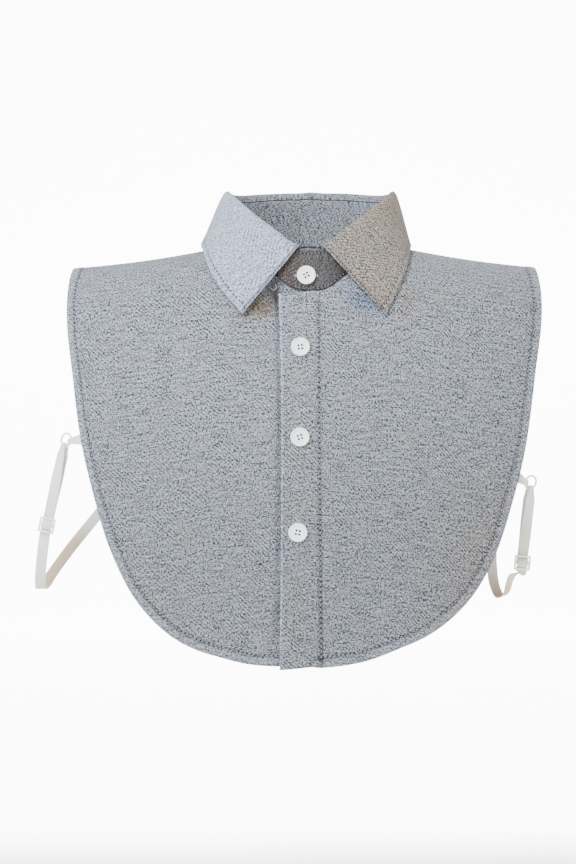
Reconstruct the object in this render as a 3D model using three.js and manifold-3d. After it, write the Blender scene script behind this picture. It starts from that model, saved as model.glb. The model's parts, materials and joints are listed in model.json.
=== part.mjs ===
// A detachable shirt collar: a buttoned collar on a short bib, with elastic side straps.
// Lengths are in millimetres: x to the viewer's right, y to the back, z up.
// The origin is the middle of the neck, level with the point where it meets the shoulders.

import * as THREE from 'three';
import { mergeVertices } from 'three/addons/utils/BufferGeometryUtils.js';
import Module from 'manifold-3d';

const wasm = await Module();
wasm.setup();

// Driving sizes of the wearer's form that the cloth lies on
const CHEST_HALF_WIDTH = 190;
const CHEST_DEPTH = 50;
const CHEST_FADE = 120;
const BACK_DEPTH = 30;
const ROLL_DROP = 30;
const FRONT_ROLL_DEPTH = 50;
const BACK_ROLL_DEPTH = 52;
const SHOULDER_SLOPE = 0.142;
const SHOULDER_LEVEL = 68.5;
const SHOULDER_SAG = 1.6;
const RIDGE_Y = -2;
const THROAT_DIP = 5;
const NAPE_RISE = 21;
const NECK_RADIUS = 66;
const NECK_DEPTH_FRONT = 64;
const NECK_DEPTH_BACK = 57;

// Driving sizes of the cloth
const PANEL_WALL = 1.2;
const PLACKET_WALL = 2;
const STAND_WALL = 1.6;
const LEAF_WALL = 1.6;
const GAP = 0.4;
const SEAM_GAP = 0.6;
const SEWN_CLEARANCE = 1.5;
const SHOULDER_HALF_WIDTH = 172;
const BIB_DROP = 304;
const BACK_DROP = 262;
const PLACKET_WIDTH = 27.4;
const PLACKET_EDGE_TOP = -23.4;
const PLACKET_EDGE_LEAN = 1.1;
const PLACKET_EDGE_BOW = 1.9;
const LAP_EASE = 30;

// Driving sizes of the collar
const STAND_FRONT_HEIGHT = 28.7;
const STAND_SIDE_HEIGHT = 36;
const STAND_LEAN = 6;
const STAND_END_LAP = 18;
const LEAF_GAP_HALF = 8.4;
const FOLD_RADIUS = 2;
const FOLD_FRONT_RISE = 2.4;
const FOLD_SIDE_RISE = 4.4;
const LEAF_CLEARANCE = 1.2;
const LEAF_REACH = 80.5;
const LEAF_POINT_DROP = 88.5;
const LEAF_BACK_DROP = 69;
const LEAF_SWELL = 0.2;

// Driving sizes of the buttons
const BUTTON_DIAMETER = 13.5;
const BUTTON_THICKNESS = 2.4;
const BUTTON_RIM = 1.5;
const BUTTON_DISH = 0.7;
const BUTTON_HOLE = 1.7;
const BUTTON_HOLE_SPREAD = 1.75;
const BUTTONHOLE_LENGTH = 15;
const BUTTONHOLE_SLIT = 0.5;
const STAND_BUTTON_X = -3.1;
const STAND_BUTTON_RISE = 10.3;

// Driving sizes of the straps
const STRAP_WIDTH = 8;
const STRAP_WALL = 0.9;
const STRAP_GATHERED = 3.8;
const RING_RADIUS = 5;
const RING_WIRE = 1.6;
const SLIDER_BAR = 1.5;
const SLIDER_SIDE_PLAY = 0.5;
const SLIDER_OPENING = 3.3;
const SLIDER_WALL = 1.6;
const STRAP_SEWN_LENGTH = 8;

// Sizes that follow from the driving ones
const LAP = PLACKET_WALL + GAP;
const ROLL_RUN = (Math.PI / 2) * Math.hypot(ROLL_DROP, FRONT_ROLL_DEPTH) / Math.SQRT2;
const LEAF_START = Math.asin(LEAF_GAP_HALF / NECK_RADIUS);
const STAND_START = Math.asin(PLACKET_EDGE_TOP / NECK_RADIUS);
const STAND_END = 2 * Math.PI + Math.asin(STAND_END_LAP / NECK_RADIUS);
const FRONT = -1;
const BACK = 1;
const LEFT = -1;
const RIGHT = 1;

// Outer edges of the bib from shoulder tip to hem: shares of the shoulder half width and the drop
const LEFT_OUTLINE = [
  { out: 1.027, down: 0.046 },
  { out: 1.046, down: 0.155 },
  { out: 1.017, down: 0.312 },
  { out: 0.980, down: 0.460 },
  { out: 0.924, down: 0.592 },
  { out: 0.843, down: 0.734 },
  { out: 0.721, down: 0.859 },
  { out: 0.535, down: 0.949 },
  { out: 0.291, down: 0.992 },
  { out: -0.030, down: 0.998 },
];
const RIGHT_OUTLINE = [
  { out: 0.972, down: 0.049 },
  { out: 0.992, down: 0.148 },
  { out: 0.959, down: 0.306 },
  { out: 0.916, down: 0.474 },
  { out: 0.860, down: 0.602 },
  { out: 0.776, down: 0.742 },
  { out: 0.657, down: 0.852 },
  { out: 0.477, down: 0.933 },
  { out: 0.262, down: 0.982 },
  { out: 0.036, down: 1.003 },
];
const BACK_OUTLINE = [
  { out: 1.000, down: 0.050 },
  { out: 0.955, down: 0.180 },
  { out: 0.880, down: 0.370 },
  { out: 0.830, down: 0.560 },
  { out: 0.795, down: 0.700 },
  { out: 0.730, down: 0.830 },
  { out: 0.590, down: 0.935 },
  { out: 0.340, down: 0.988 },
  { out: 0.000, down: 1.000 },
];

// Outer edge of the leaf from its point to the shoulder: shares of the reach and of the point's drop
const LEFT_LEAF_EDGE = [
  { out: 0.609, down: 1.000 },
  { out: 0.826, down: 0.746 },
  { out: 0.945, down: 0.430 },
  { out: 1.000, down: 0.000 },
];
const RIGHT_LEAF_EDGE = [
  { out: 0.671, down: 1.000 },
  { out: 0.820, down: 0.700 },
  { out: 0.890, down: 0.395 },
  { out: 0.930, down: 0.000 },
];

// The back follows one table on both sides, scaled to meet each front's shoulder tip
const backRows = (sign) => {
  const tip = (sign === LEFT ? LEFT_OUTLINE : RIGHT_OUTLINE)[0].out;
  return BACK_OUTLINE.map(({ out, down }) => ({ out: out * tip, down }));
};

// Buttons on the placket: place across from its middle in button diameters, and down as shares
const PLACKET_BUTTONS = [
  { name: 'placket_button_1', across: 0.02, down: 0.251, turn: 0.1 },
  { name: 'placket_button_2', across: -0.03, down: 0.463, turn: 0.3 },
  { name: 'placket_button_3', across: -0.12, down: 0.686, turn: -0.2 },
];

// Hardware and route of each strap. Ring and slider are laid off from the front's edge at the tab, and
// the fall's rows from points between there and the back's edge, each with its width direction
const STRAP_ROUTES = {
  left: {
    side: LEFT,
    ring: [-12.4, 11.1, -0.7],
    ringTurn: -0.73,
    slider: [-26.9, 13.6, -63.7],
    tabDown: 0.4661,
    tabSeat: 0.7,
    backDown: 0.6718,
    fall: [
      { at: [-30.4, 16.6, -84.3], width: [1, 0.1, 0.05] },
      { at: [-36.2, 9, -97.4], width: [1, 0.15, 0.05] },
      { at: [-40.2, 2.9, -100.9], width: [1, 0.1, 0] },
      { at: [-42.4, -1.1, -96.2], width: [1, 0, 0] },
      { at: [-41.3, -4.7, -82.7], width: [0.9, 0.05, -0.45] },
      { at: [-34.5, -6.3, -62.3], width: [0.85, 0.05, -0.5] },
      { at: [-25.3, -6.8, -40.4], width: [0.8, 0.1, -0.6] },
      { at: [-15, -10.4, -18], width: [0.75, 0.3, -0.6] },
    ],
  },
  right: {
    side: RIGHT,
    ring: [9.5, 7.6, -3.7],
    ringTurn: 0.56,
    slider: [4.6, 20.1, -63.2],
    tabDown: 0.5582,
    tabSeat: 1.8,
    backDown: 0.7481,
    fall: [
      { at: [-0.8, 26.6, -71.6], width: [0.88, 0.45, 0.15] },
      { at: [-0.4, 19.2, -74], width: [0.72, 0.66, 0.2] },
      { at: [1.8, 12, -76.6], width: [0.66, 0.7, 0.28] },
      { at: [3.3, 6.3, -77.6], width: [0.75, 0.58, 0.3] },
      { at: [3.6, 0.9, -75], width: [0.92, 0.3, 0.2] },
      { at: [3.7, -4.6, -63.8], width: [1, 0.1, -0.1] },
      { at: [5.5, -9.9, -44.8], width: [1, 0, -0.1] },
      { at: [8.4, -16.2, -20], width: [0.95, -0.25, 0.1] },
    ],
  },
};

const mix = (from, to, share) => from + (to - from) * share;
const clamp01 = (value) => Math.min(Math.max(value, 0), 1);
const smooth = (value) => {
  const t = clamp01(value);
  return t * t * (3 - 2 * t);
};

// The wearer's form: height of the shoulder ridge, and the cloth's rest surface below it
function ridgeHeight(x, side) {
  const reach = Math.abs(x);
  const run = clamp01((reach - SHOULDER_LEVEL) / (SHOULDER_HALF_WIDTH - SHOULDER_LEVEL));
  const slope = SHOULDER_SLOPE * (SHOULDER_LEVEL - reach) - SHOULDER_SAG * Math.sin(Math.PI * run);
  const inNeck = Math.max(0, 1 - (x / NECK_RADIUS) ** 2);
  const bump = side === FRONT ? -THROAT_DIP * Math.pow(inNeck, 1.5) : NAPE_RISE * Math.pow(inNeck, 1.3);
  return slope + bump;
}

function rollAt(run) {
  const turn = clamp01(run / ROLL_RUN) * Math.PI / 2;
  const drop = ROLL_DROP * (1 - Math.cos(turn)) + Math.max(0, run - ROLL_RUN);
  return { turn, drop };
}

function depthAt(x, run, side) {
  const { turn, drop } = rollAt(run);
  const roll = side === FRONT ? FRONT_ROLL_DEPTH : BACK_ROLL_DEPTH;
  const swell = side === FRONT ? CHEST_DEPTH : BACK_DEPTH;
  const spread = Math.sqrt(Math.max(0.02, 1 - (x / CHEST_HALF_WIDTH) ** 2));
  return spread * (roll * Math.sin(turn) + swell * (1 - Math.exp(-drop / CHEST_FADE)));
}

function restPoint(x, run, side) {
  const y = RIDGE_Y + side * depthAt(x, run, side);
  return new THREE.Vector3(x, y, ridgeHeight(x, side) - rollAt(run).drop);
}

function restNormal(x, run, side) {
  const step = 0.25;
  const across = restPoint(x + step, run, side).sub(restPoint(x - step, run, side));
  const down = restPoint(x, run + step, side).sub(restPoint(x, run, side));
  return across.cross(down).normalize().multiplyScalar(side);
}

function clothPoint(x, run, side, offset) {
  return restPoint(x, run, side).addScaledVector(restNormal(x, run, side), offset);
}

function runAtHeight(x, z, side) {
  const drop = Math.max(0, ridgeHeight(x, side) - z);
  if (drop >= ROLL_DROP) return ROLL_RUN + drop - ROLL_DROP;
  return ROLL_RUN * Math.acos(1 - drop / ROLL_DROP) / (Math.PI / 2);
}

// The neck seam: a turn of 0 is the front, a quarter turn the viewer's right side
const seamSide = (turn) => (Math.cos(turn) >= 0 ? FRONT : BACK);
const seamX = (turn) => NECK_RADIUS * Math.sin(turn);

function seamRun(turn) {
  const side = seamSide(turn);
  const reach = side === FRONT ? NECK_DEPTH_FRONT : NECK_DEPTH_BACK;
  const wanted = reach * Math.abs(Math.cos(turn));
  let low = 0;
  let high = 3 * ROLL_RUN;
  for (let i = 0; i < 40; i += 1) {
    const middle = (low + high) / 2;
    if (depthAt(seamX(turn), middle, side) < wanted) low = middle;
    else high = middle;
  }
  return low;
}

// How far the overlapping front lies above the one under it
const lapAt = (x) => LAP * (1 - smooth((x - STAND_END_LAP - 1) / LAP_EASE));

// How much further the left side of the leaf folds out, over the end of the stand under it
const tuckAt = (x) => LAP * (1 - smooth((PLACKET_EDGE_TOP - x) / LAP_EASE));

// A closed wall from pairs of inner and outer points on a grid
function wallSolid(rows, columns, pairAt) {
  const positions = [];
  const index = [];
  const count = rows * columns;
  for (const face of [0, 1]) {
    for (let i = 0; i < rows; i += 1) {
      for (let j = 0; j < columns; j += 1) positions.push(...pairAt(i, j)[face].toArray());
    }
  }
  const at = (i, j, face) => face * count + i * columns + j;
  const quad = (a, b, c, d) => index.push(a, b, c, a, c, d);
  for (let i = 0; i < rows - 1; i += 1) {
    for (let j = 0; j < columns - 1; j += 1) {
      quad(at(i, j, 1), at(i + 1, j, 1), at(i + 1, j + 1, 1), at(i, j + 1, 1));
      quad(at(i, j, 0), at(i, j + 1, 0), at(i + 1, j + 1, 0), at(i + 1, j, 0));
    }
    const last = columns - 1;
    quad(at(i, 0, 0), at(i + 1, 0, 0), at(i + 1, 0, 1), at(i, 0, 1));
    quad(at(i, last, 1), at(i + 1, last, 1), at(i + 1, last, 0), at(i, last, 0));
  }
  for (let j = 0; j < columns - 1; j += 1) {
    const last = rows - 1;
    quad(at(0, j, 1), at(0, j + 1, 1), at(0, j + 1, 0), at(0, j, 0));
    quad(at(last, j, 0), at(last, j + 1, 0), at(last, j + 1, 1), at(last, j, 1));
  }
  return facingOut(positions, index);
}

function facingOut(positions, index) {
  const corner = (k) => new THREE.Vector3().fromArray(positions, 3 * index[k]);
  let volume = 0;
  for (let k = 0; k < index.length; k += 3) volume += corner(k).dot(corner(k + 1).cross(corner(k + 2)));
  if (volume < 0) index.reverse();
  const geometry = new THREE.BufferGeometry();
  geometry.setAttribute('position', new THREE.Float32BufferAttribute(positions, 3));
  geometry.setIndex(index);
  return geometry;
}

// Inner and outer points on both sides of a grid of middle points
function thicken(grid, wall) {
  const rows = grid.length;
  const columns = grid[0].length;
  return (i, j) => {
    const alongStart = grid[Math.max(i - 1, 0)][j];
    const along = grid[Math.min(i + 1, rows - 1)][j].clone().sub(alongStart);
    const acrossStart = grid[i][Math.max(j - 1, 0)];
    const across = grid[i][Math.min(j + 1, columns - 1)].clone().sub(acrossStart);
    const normal = along.cross(across).normalize();
    const middle = grid[i][j];
    const inner = middle.clone().addScaledVector(normal, -wall / 2);
    return [inner, middle.clone().addScaledVector(normal, wall / 2)];
  };
}

function toManifold(geometry) {
  const bare = geometry.clone();
  bare.deleteAttribute('normal');
  bare.deleteAttribute('uv');
  const merged = mergeVertices(bare, 1e-4);
  const vertProperties = new Float32Array(merged.attributes.position.array);
  const triVerts = new Uint32Array(merged.index.array);
  return new wasm.Manifold(new wasm.Mesh({ numProp: 3, vertProperties, triVerts }));
}

function fromManifold(solid) {
  const result = solid.getMesh();
  const geometry = new THREE.BufferGeometry();
  geometry.setAttribute('position', new THREE.BufferAttribute(result.vertProperties, 3));
  geometry.setIndex(new THREE.BufferAttribute(result.triVerts, 1));
  return geometry;
}

function cutAll(geometry, cutters) {
  let solid = toManifold(geometry);
  for (const cutter of cutters) solid = solid.subtract(toManifold(cutter));
  return fromManifold(solid);
}

// The bib: patches between the neck seam, the shoulder line, the front edge and the outline
function outlineCurve(rows, drop, sign, side) {
  const points = rows.map(({ out, down }) => {
    const x = sign * out * SHOULDER_HALF_WIDTH;
    return new THREE.Vector2(x, runAtHeight(x, -down * drop, side));
  });
  points[0].y = SEAM_GAP / 2;
  return new THREE.SplineCurve(points);
}

function coons(neck, outline, shoulder, edge) {
  return (u, v) => {
    const ends = [neck(0), neck(1), outline(0), outline(1)];
    const ruled = neck(u).multiplyScalar(1 - v).addScaledVector(outline(u), v);
    const crossed = shoulder(v).multiplyScalar(1 - u).addScaledVector(edge(v), u);
    const corners = ends[0].multiplyScalar((1 - u) * (1 - v)).addScaledVector(ends[1], u * (1 - v));
    corners.addScaledVector(ends[2], (1 - u) * v).addScaledVector(ends[3], u * v);
    return ruled.add(crossed).sub(corners);
  };
}

function neckCurve(fromTurn, toTurn) {
  return (u) => {
    const turn = mix(fromTurn, toTurn, u);
    return new THREE.Vector2(seamX(turn), seamRun(turn) + SEAM_GAP / 2);
  };
}

const lineBetween = (from, to) => (t) => from.clone().lerp(to, t);

function bibPatch(rows, drop, sign, side, endTurn) {
  const neck = neckCurve(sign * Math.PI / 2, endTurn);
  const spline = outlineCurve(rows, drop, sign, side);
  const outline = (u) => spline.getPoint(u);
  const shoulder = lineBetween(neck(0), outline(0));
  return coons(neck, outline, shoulder, lineBetween(neck(1), outline(1)));
}

function leftFront() {
  const endTurn = Math.asin((PLACKET_EDGE_TOP + PLACKET_WIDTH) / NECK_RADIUS);
  const patch = bibPatch(LEFT_OUTLINE, BIB_DROP, LEFT, FRONT, endTurn);
  const rows = 16;
  const columns = 20;
  return wallSolid(rows + 1, columns + 1, (i, j) => {
    const place = patch(j / columns, i / rows);
    return [0, PANEL_WALL].map((offset) => clothPoint(place.x, place.y, FRONT, offset));
  });
}

// The placket's free edge leans and bows a little on its way down
function placketEdge(share) {
  const bow = Math.sin(Math.PI * Math.pow(share, 0.7));
  return PLACKET_EDGE_TOP + PLACKET_EDGE_LEAN * share + PLACKET_EDGE_BOW * bow;
}

function rightFront() {
  const seamEnd = PLACKET_EDGE_TOP + PLACKET_WIDTH;
  const patch = bibPatch(RIGHT_OUTLINE, BIB_DROP, RIGHT, FRONT, Math.asin(seamEnd / NECK_RADIUS));
  const rows = 16;
  const columns = 18;
  const strip = [0.04, 0.36, 0.68, 1];
  const pairAt = (i, j) => {
    const v = i / rows;
    const place = patch(Math.min(j / columns, 1), v);
    const share = j > columns ? strip[j - columns - 1] : 0;
    const x = mix(place.x, placketEdge(v), share);
    const outer = lapAt(x) + PANEL_WALL;
    const wall = share > 0 ? PLACKET_WALL : PANEL_WALL;
    return [outer - wall, outer].map((offset) => clothPoint(x, place.y, FRONT, offset));
  };
  const slits = PLACKET_BUTTONS.map((row) => {
    const frame = buttonSeat(placketButtonX(row), -row.down * BIB_DROP);
    return new THREE.BoxGeometry(BUTTONHOLE_SLIT, BUTTONHOLE_LENGTH, 4 * PLACKET_WALL).applyMatrix4(frame);
  });
  return cutAll(wallSolid(rows + 1, columns + strip.length + 1, pairAt), slits);
}

function backPanel() {
  const rows = 11;
  const half = 14;
  const patches = [LEFT, RIGHT].map((sign) => (
    bibPatch(backRows(sign), BACK_DROP, sign, BACK, Math.PI * sign)
  ));
  return wallSolid(rows + 1, 2 * half + 1, (i, j) => {
    const patch = patches[j > half ? 1 : 0];
    const u = j > half ? (2 * half - j) / half : j / half;
    const place = patch(u, i / rows);
    return [0, PANEL_WALL].map((offset) => clothPoint(place.x, place.y, BACK, offset));
  });
}

// The collar stand, wound once round the neck with its ends lapped at the front
const shoulderShare = (turn) => {
  const folded = Math.acos(Math.cos(turn));
  return smooth(Math.pow(clamp01(folded / (Math.PI / 2)), 1.15));
};
const standHeight = (turn) => mix(STAND_FRONT_HEIGHT, STAND_SIDE_HEIGHT, shoulderShare(turn));
const outward = (turn) => new THREE.Vector3(Math.sin(turn), -Math.cos(turn), 0);

function standLap(turn) {
  return turn > Math.PI / 2 ? 0 : lapAt(seamX(turn));
}

function standPoint(turn, rise) {
  const side = seamSide(turn);
  const x = seamX(turn);
  const normal = restNormal(x, seamRun(turn), side);
  const base = restPoint(x, seamRun(turn), side);
  base.addScaledVector(normal, PANEL_WALL / 2 + standLap(turn));
  base.z += SEAM_GAP / 2 + PANEL_WALL / 2 * Math.max(0, normal.z);
  base.addScaledVector(outward(turn), -STAND_LEAN * rise / STAND_SIDE_HEIGHT);
  base.z += rise;
  return base;
}

function collarStand() {
  const stations = 60;
  const levels = 4;
  const grid = [];
  for (let i = 0; i <= stations; i += 1) {
    const turn = mix(STAND_START, STAND_END, i / stations);
    const row = [];
    for (let j = 0; j <= levels; j += 1) row.push(standPoint(turn, standHeight(turn) * j / levels));
    grid.push(row);
  }
  const slit = new THREE.BoxGeometry(BUTTONHOLE_LENGTH, BUTTONHOLE_SLIT, 2.5 * STAND_WALL);
  slit.applyMatrix4(standButtonSeat());
  return cutAll(wallSolid(stations + 1, levels + 1, thicken(grid, STAND_WALL)), [slit]);
}

// The leaf: up from the stand, over the fold and down to its outer edge on the bib
function leafEdge(quarter, sign) {
  const rows = sign === LEFT ? LEFT_LEAF_EDGE : RIGHT_LEAF_EDGE;
  const reach = rows[rows.length - 1].out * LEAF_REACH;
  const offset = PANEL_WALL + LEAF_CLEARANCE + LEAF_WALL / 2;
  if (quarter <= 1) {
    const points = rows.map(({ out, down }) => new THREE.Vector2(out * LEAF_REACH, down * LEAF_POINT_DROP));
    const place = new THREE.SplineCurve(points).getPoint(Math.max(quarter, 0));
    return clothPoint(sign * place.x, Math.max(place.y, 0), FRONT, offset + lapAt(sign * place.x));
  }
  const turn = (quarter - 1) * Math.PI / 2;
  const run = LEAF_BACK_DROP * Math.pow(Math.sin(turn), 1.7);
  return clothPoint(sign * reach * Math.cos(turn), run, BACK, offset);
}

function bezier(points, t) {
  return new THREE.CubicBezierCurve3(...points).getPoint(t);
}

function leafSection(turn) {
  const sign = turn > Math.PI ? LEFT : RIGHT;
  const folded = Math.acos(Math.cos(turn));
  const quarter = folded <= Math.PI / 2
    ? (folded - LEAF_START) / (Math.PI / 2 - LEAF_START)
    : folded / (Math.PI / 2);
  const up = new THREE.Vector3(0, 0, 1);
  const out = outward(turn);
  const foot = standPoint(turn, standHeight(turn)).addScaledVector(up, 3.8 * GAP);
  const rise = mix(FOLD_FRONT_RISE, FOLD_SIDE_RISE, shoulderShare(turn)) - LEAF_WALL / 2;
  const tuck = sign === LEFT ? tuckAt(seamX(turn)) : 0;
  const top = foot.clone().addScaledVector(up, rise).addScaledVector(out, FOLD_RADIUS + tuck);
  const edge = leafEdge(quarter, sign);
  const legPoints = [
    foot,
    foot.clone().addScaledVector(up, 0.7 * rise),
    top.clone().addScaledVector(out, -0.6 * FOLD_RADIUS),
    top,
  ];
  const swell = new THREE.Vector3().addScaledVector(out, LEAF_SWELL);
  const fallPoints = [
    top,
    top.clone().addScaledVector(out, 1.6 * FOLD_RADIUS),
    edge.clone().lerp(top, 0.55).add(swell),
    edge,
  ];
  const section = [0, 0.3, 0.65].map((t) => bezier(legPoints, t));
  for (let k = 0; k <= 8; k += 1) section.push(bezier(fallPoints, Math.pow(k / 8, 1.5)));
  return section;
}

function collarLeaf() {
  const stations = 50;
  const grid = [];
  for (let i = 0; i <= stations; i += 1) {
    grid.push(leafSection(mix(LEAF_START, 2 * Math.PI - LEAF_START, i / stations)));
  }
  return wallSolid(grid.length, grid[0].length, thicken(grid, LEAF_WALL));
}

// Buttons: where each sits, and the dished disc with four holes
const placketMiddle = (share) => placketEdge(share) + PLACKET_WIDTH / 2;
const placketButtonX = (row) => placketMiddle(row.down) + row.across * BUTTON_DIAMETER;

function frameFrom(origin, across, normal) {
  const z = normal.clone().normalize();
  const y = z.clone().cross(across).normalize();
  const x = y.clone().cross(z);
  return new THREE.Matrix4().makeBasis(x, y, z).setPosition(origin);
}

function buttonSeat(x, z) {
  const run = runAtHeight(x, z, FRONT);
  const origin = clothPoint(x, run, FRONT, lapAt(x) + PANEL_WALL);
  return frameFrom(origin, new THREE.Vector3(1, 0, 0), restNormal(x, run, FRONT));
}

function standButtonSeat() {
  const turn = Math.asin(STAND_BUTTON_X / NECK_RADIUS);
  const low = standPoint(turn, STAND_BUTTON_RISE - 1);
  const high = standPoint(turn, STAND_BUTTON_RISE + 1);
  const across = new THREE.Vector3(Math.cos(turn), Math.sin(turn), 0);
  const normal = across.clone().cross(high.clone().sub(low)).normalize();
  const origin = low.lerp(high, 0.5).addScaledVector(normal, STAND_WALL / 2);
  return frameFrom(origin, across, normal);
}

function buttonDisc(turn) {
  const radius = BUTTON_DIAMETER / 2;
  const inner = radius - BUTTON_RIM;
  const profile = [
    [0, GAP],
    [radius * 0.8, GAP],
    [radius, GAP + BUTTON_THICKNESS * 0.4],
    [radius * 0.985, GAP + BUTTON_THICKNESS * 0.75],
    [radius - BUTTON_RIM * 0.45, GAP + BUTTON_THICKNESS],
    [inner, GAP + BUTTON_THICKNESS - BUTTON_DISH * 0.7],
    [inner * 0.8, GAP + BUTTON_THICKNESS - BUTTON_DISH],
    [0, GAP + BUTTON_THICKNESS - BUTTON_DISH],
  ];
  const lathe = new THREE.LatheGeometry(profile.map((row) => new THREE.Vector2(...row)), 20);
  lathe.rotateX(Math.PI / 2);
  const holes = [0, 1, 2, 3].map((k) => {
    const angle = turn + Math.PI / 4 + k * Math.PI / 2;
    const hole = new THREE.CylinderGeometry(BUTTON_HOLE / 2, BUTTON_HOLE / 2, 4 * BUTTON_THICKNESS, 8);
    hole.rotateX(Math.PI / 2);
    return hole.translate(BUTTON_HOLE_SPREAD * Math.cos(angle), BUTTON_HOLE_SPREAD * Math.sin(angle), 0);
  });
  return cutAll(lathe, holes);
}

// Ribbons: a smooth run through chosen middles, with a width direction and width at each
function ribbon(stops, perStop) {
  const middles = new THREE.CatmullRomCurve3(stops.map((stop) => stop.at), false, 'centripetal');
  const steps = (stops.length - 1) * perStop;
  const grid = [];
  for (let i = 0; i <= steps; i += 1) {
    const share = i / steps;
    const place = share * (stops.length - 1);
    const before = stops[Math.min(Math.floor(place), stops.length - 2)];
    const after = stops[Math.min(Math.floor(place) + 1, stops.length - 1)];
    const part = smooth(place - Math.floor(Math.min(place, stops.length - 2)));
    const tangent = middles.getTangent(share);
    const across = before.across.clone().lerp(after.across, part);
    across.addScaledVector(tangent, -across.dot(tangent)).normalize();
    const half = mix(before.width, after.width, part) / 2;
    const middle = middles.getPoint(share);
    grid.push([-half, half].map((reach) => middle.clone().addScaledVector(across, reach)));
  }
  return wallSolid(grid.length, 2, thicken(grid, STRAP_WALL));
}

// The frames that a strap's stops are given in: the slider's and the ring's
function strapFrames(route) {
  const up = route.ring.clone().sub(route.slider).normalize();
  const across = new THREE.Vector3(1, 0, 0);
  across.addScaledVector(up, -across.dot(up)).normalize();
  const forward = across.clone().cross(up).normalize();
  const turned = across.clone().applyAxisAngle(up, route.ringTurn);
  return {
    slider: { origin: route.slider, across, up, forward },
    ring: { origin: route.ring, across: turned, up, forward: turned.clone().cross(up).normalize() },
  };
}

function stopIn(frame, rise, out, width = STRAP_WIDTH) {
  const at = frame.origin.clone().addScaledVector(frame.up, rise).addScaledVector(frame.forward, out);
  return { at, across: frame.across, width };
}

// An end sewn on the inside of a panel's edge
function sewnStop(sign, x, z, side, across, depth) {
  const at = clothPoint(sign * x, runAtHeight(sign * x, z, side), side, -depth);
  return { at, across: new THREE.Vector3(...across), width: STRAP_WIDTH };
}

function outlineReach(rows, drop, z) {
  const spline = new THREE.SplineCurve(rows.map(({ out, down }) => new THREE.Vector2(out, down)));
  let share = 0;
  while (share < 1 && spline.getPoint(share).y * drop < -z) share += 0.002;
  return spline.getPoint(share).x * SHOULDER_HALF_WIDTH;
}

// A route's places in full, from the edges that its ends are sewn to
function placeRoute(route) {
  const edgeAt = (rows, drop, z, face) => {
    const x = route.side * outlineReach(rows, drop, z);
    return clothPoint(x, runAtHeight(x, z, face), face, 0);
  };
  const tabHeight = -route.tabDown * BIB_DROP;
  const backHeight = -route.backDown * BACK_DROP;
  const front = edgeAt(route.side === LEFT ? LEFT_OUTLINE : RIGHT_OUTLINE, BIB_DROP, tabHeight, FRONT);
  const back = edgeAt(backRows(route.side), BACK_DROP, backHeight, BACK);
  const fall = route.fall.map(({ at, width }, k) => ({
    at: front.clone().lerp(back, k / (route.fall.length - 1)).add(new THREE.Vector3(...at)),
    across: new THREE.Vector3(...width),
    width: STRAP_WIDTH,
  }));
  const [ring, slider] = [route.ring, route.slider].map((place) => (
    front.clone().add(new THREE.Vector3(...place))
  ));
  return { ...route, tabHeight, backHeight, ring, slider, fall };
}

function strapStops(route) {
  const { slider, ring } = strapFrames(route);
  const inside = SLIDER_WALL / 2 + STRAP_WALL / 2 + GAP;
  const corner = 0.83 * inside;
  const wrap = inside + STRAP_WALL + 1.4 * GAP;
  const behind = SLIDER_WALL / 2 + STRAP_WALL / 2 + 1.7 * GAP;
  const outside = behind + STRAP_WALL + GAP;
  const lip = SLIDER_BAR / 2 + SLIDER_OPENING + SLIDER_BAR / 2;
  const wire = RING_WIRE / 2 + STRAP_WALL / 2 + 1.5 * GAP;
  const through = Math.sqrt((RING_RADIUS - RING_WIRE / 2) ** 2 - (STRAP_GATHERED / 2) ** 2)
    - STRAP_WALL / 2 - 1.5 * GAP;
  const rings = [
    stopIn(ring, -RING_RADIUS - 9, wire, STRAP_WIDTH),
    stopIn(ring, -RING_RADIUS - 2.5, wire, mix(STRAP_GATHERED, STRAP_WIDTH, 0.4)),
    stopIn(ring, -RING_RADIUS + 0.6, wire, STRAP_GATHERED),
    stopIn(ring, -through, 0, STRAP_GATHERED),
    stopIn(ring, -RING_RADIUS + 0.6, -wire, STRAP_GATHERED),
    stopIn(ring, -RING_RADIUS - 2.5, -wire, mix(STRAP_GATHERED, STRAP_WIDTH, 0.4)),
    stopIn(ring, -RING_RADIUS - 9, -wire, STRAP_WIDTH),
  ];
  const reach = outlineReach(backRows(route.side), BACK_DROP, route.backHeight);
  const sewnAcross = route.fall[route.fall.length - 1].across.toArray();
  const sewn = [0, 1].map((share) => {
    const x = reach - STRAP_SEWN_LENGTH * share;
    const z = route.backHeight + STRAP_SEWN_LENGTH * share;
    return sewnStop(route.side, x, z, BACK, sewnAcross, STRAP_WALL / 2 + SEWN_CLEARANCE);
  });
  return [
    stopIn(slider, 1.2, inside),
    stopIn(slider, 0, inside),
    stopIn(slider, -corner, corner),
    stopIn(slider, -inside, 0),
    stopIn(slider, -corner, -corner),
    stopIn(slider, 1.4, -outside),
    stopIn(slider, lip, -outside),
    stopIn(slider, lip + 14, -wire - 1),
    ...rings.slice().reverse(),
    stopIn(slider, lip + 14, wire - 0.6),
    stopIn(slider, lip, -behind),
    stopIn(slider, wrap, -behind * 0.8),
    stopIn(slider, wrap, 0.3),
    stopIn(slider, 0.7 * wrap, 0.7 * wrap),
    stopIn(slider, 0, wrap),
    stopIn(slider, -0.7 * wrap, 0.7 * wrap),
    stopIn(slider, -wrap, 0.3),
    stopIn(slider, -wrap, -behind * 0.8),
    stopIn(slider, -lip, -behind),
    stopIn(slider, -lip - 3.5, -behind - 0.8),
    ...route.fall,
    ...sewn,
  ];
}

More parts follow.
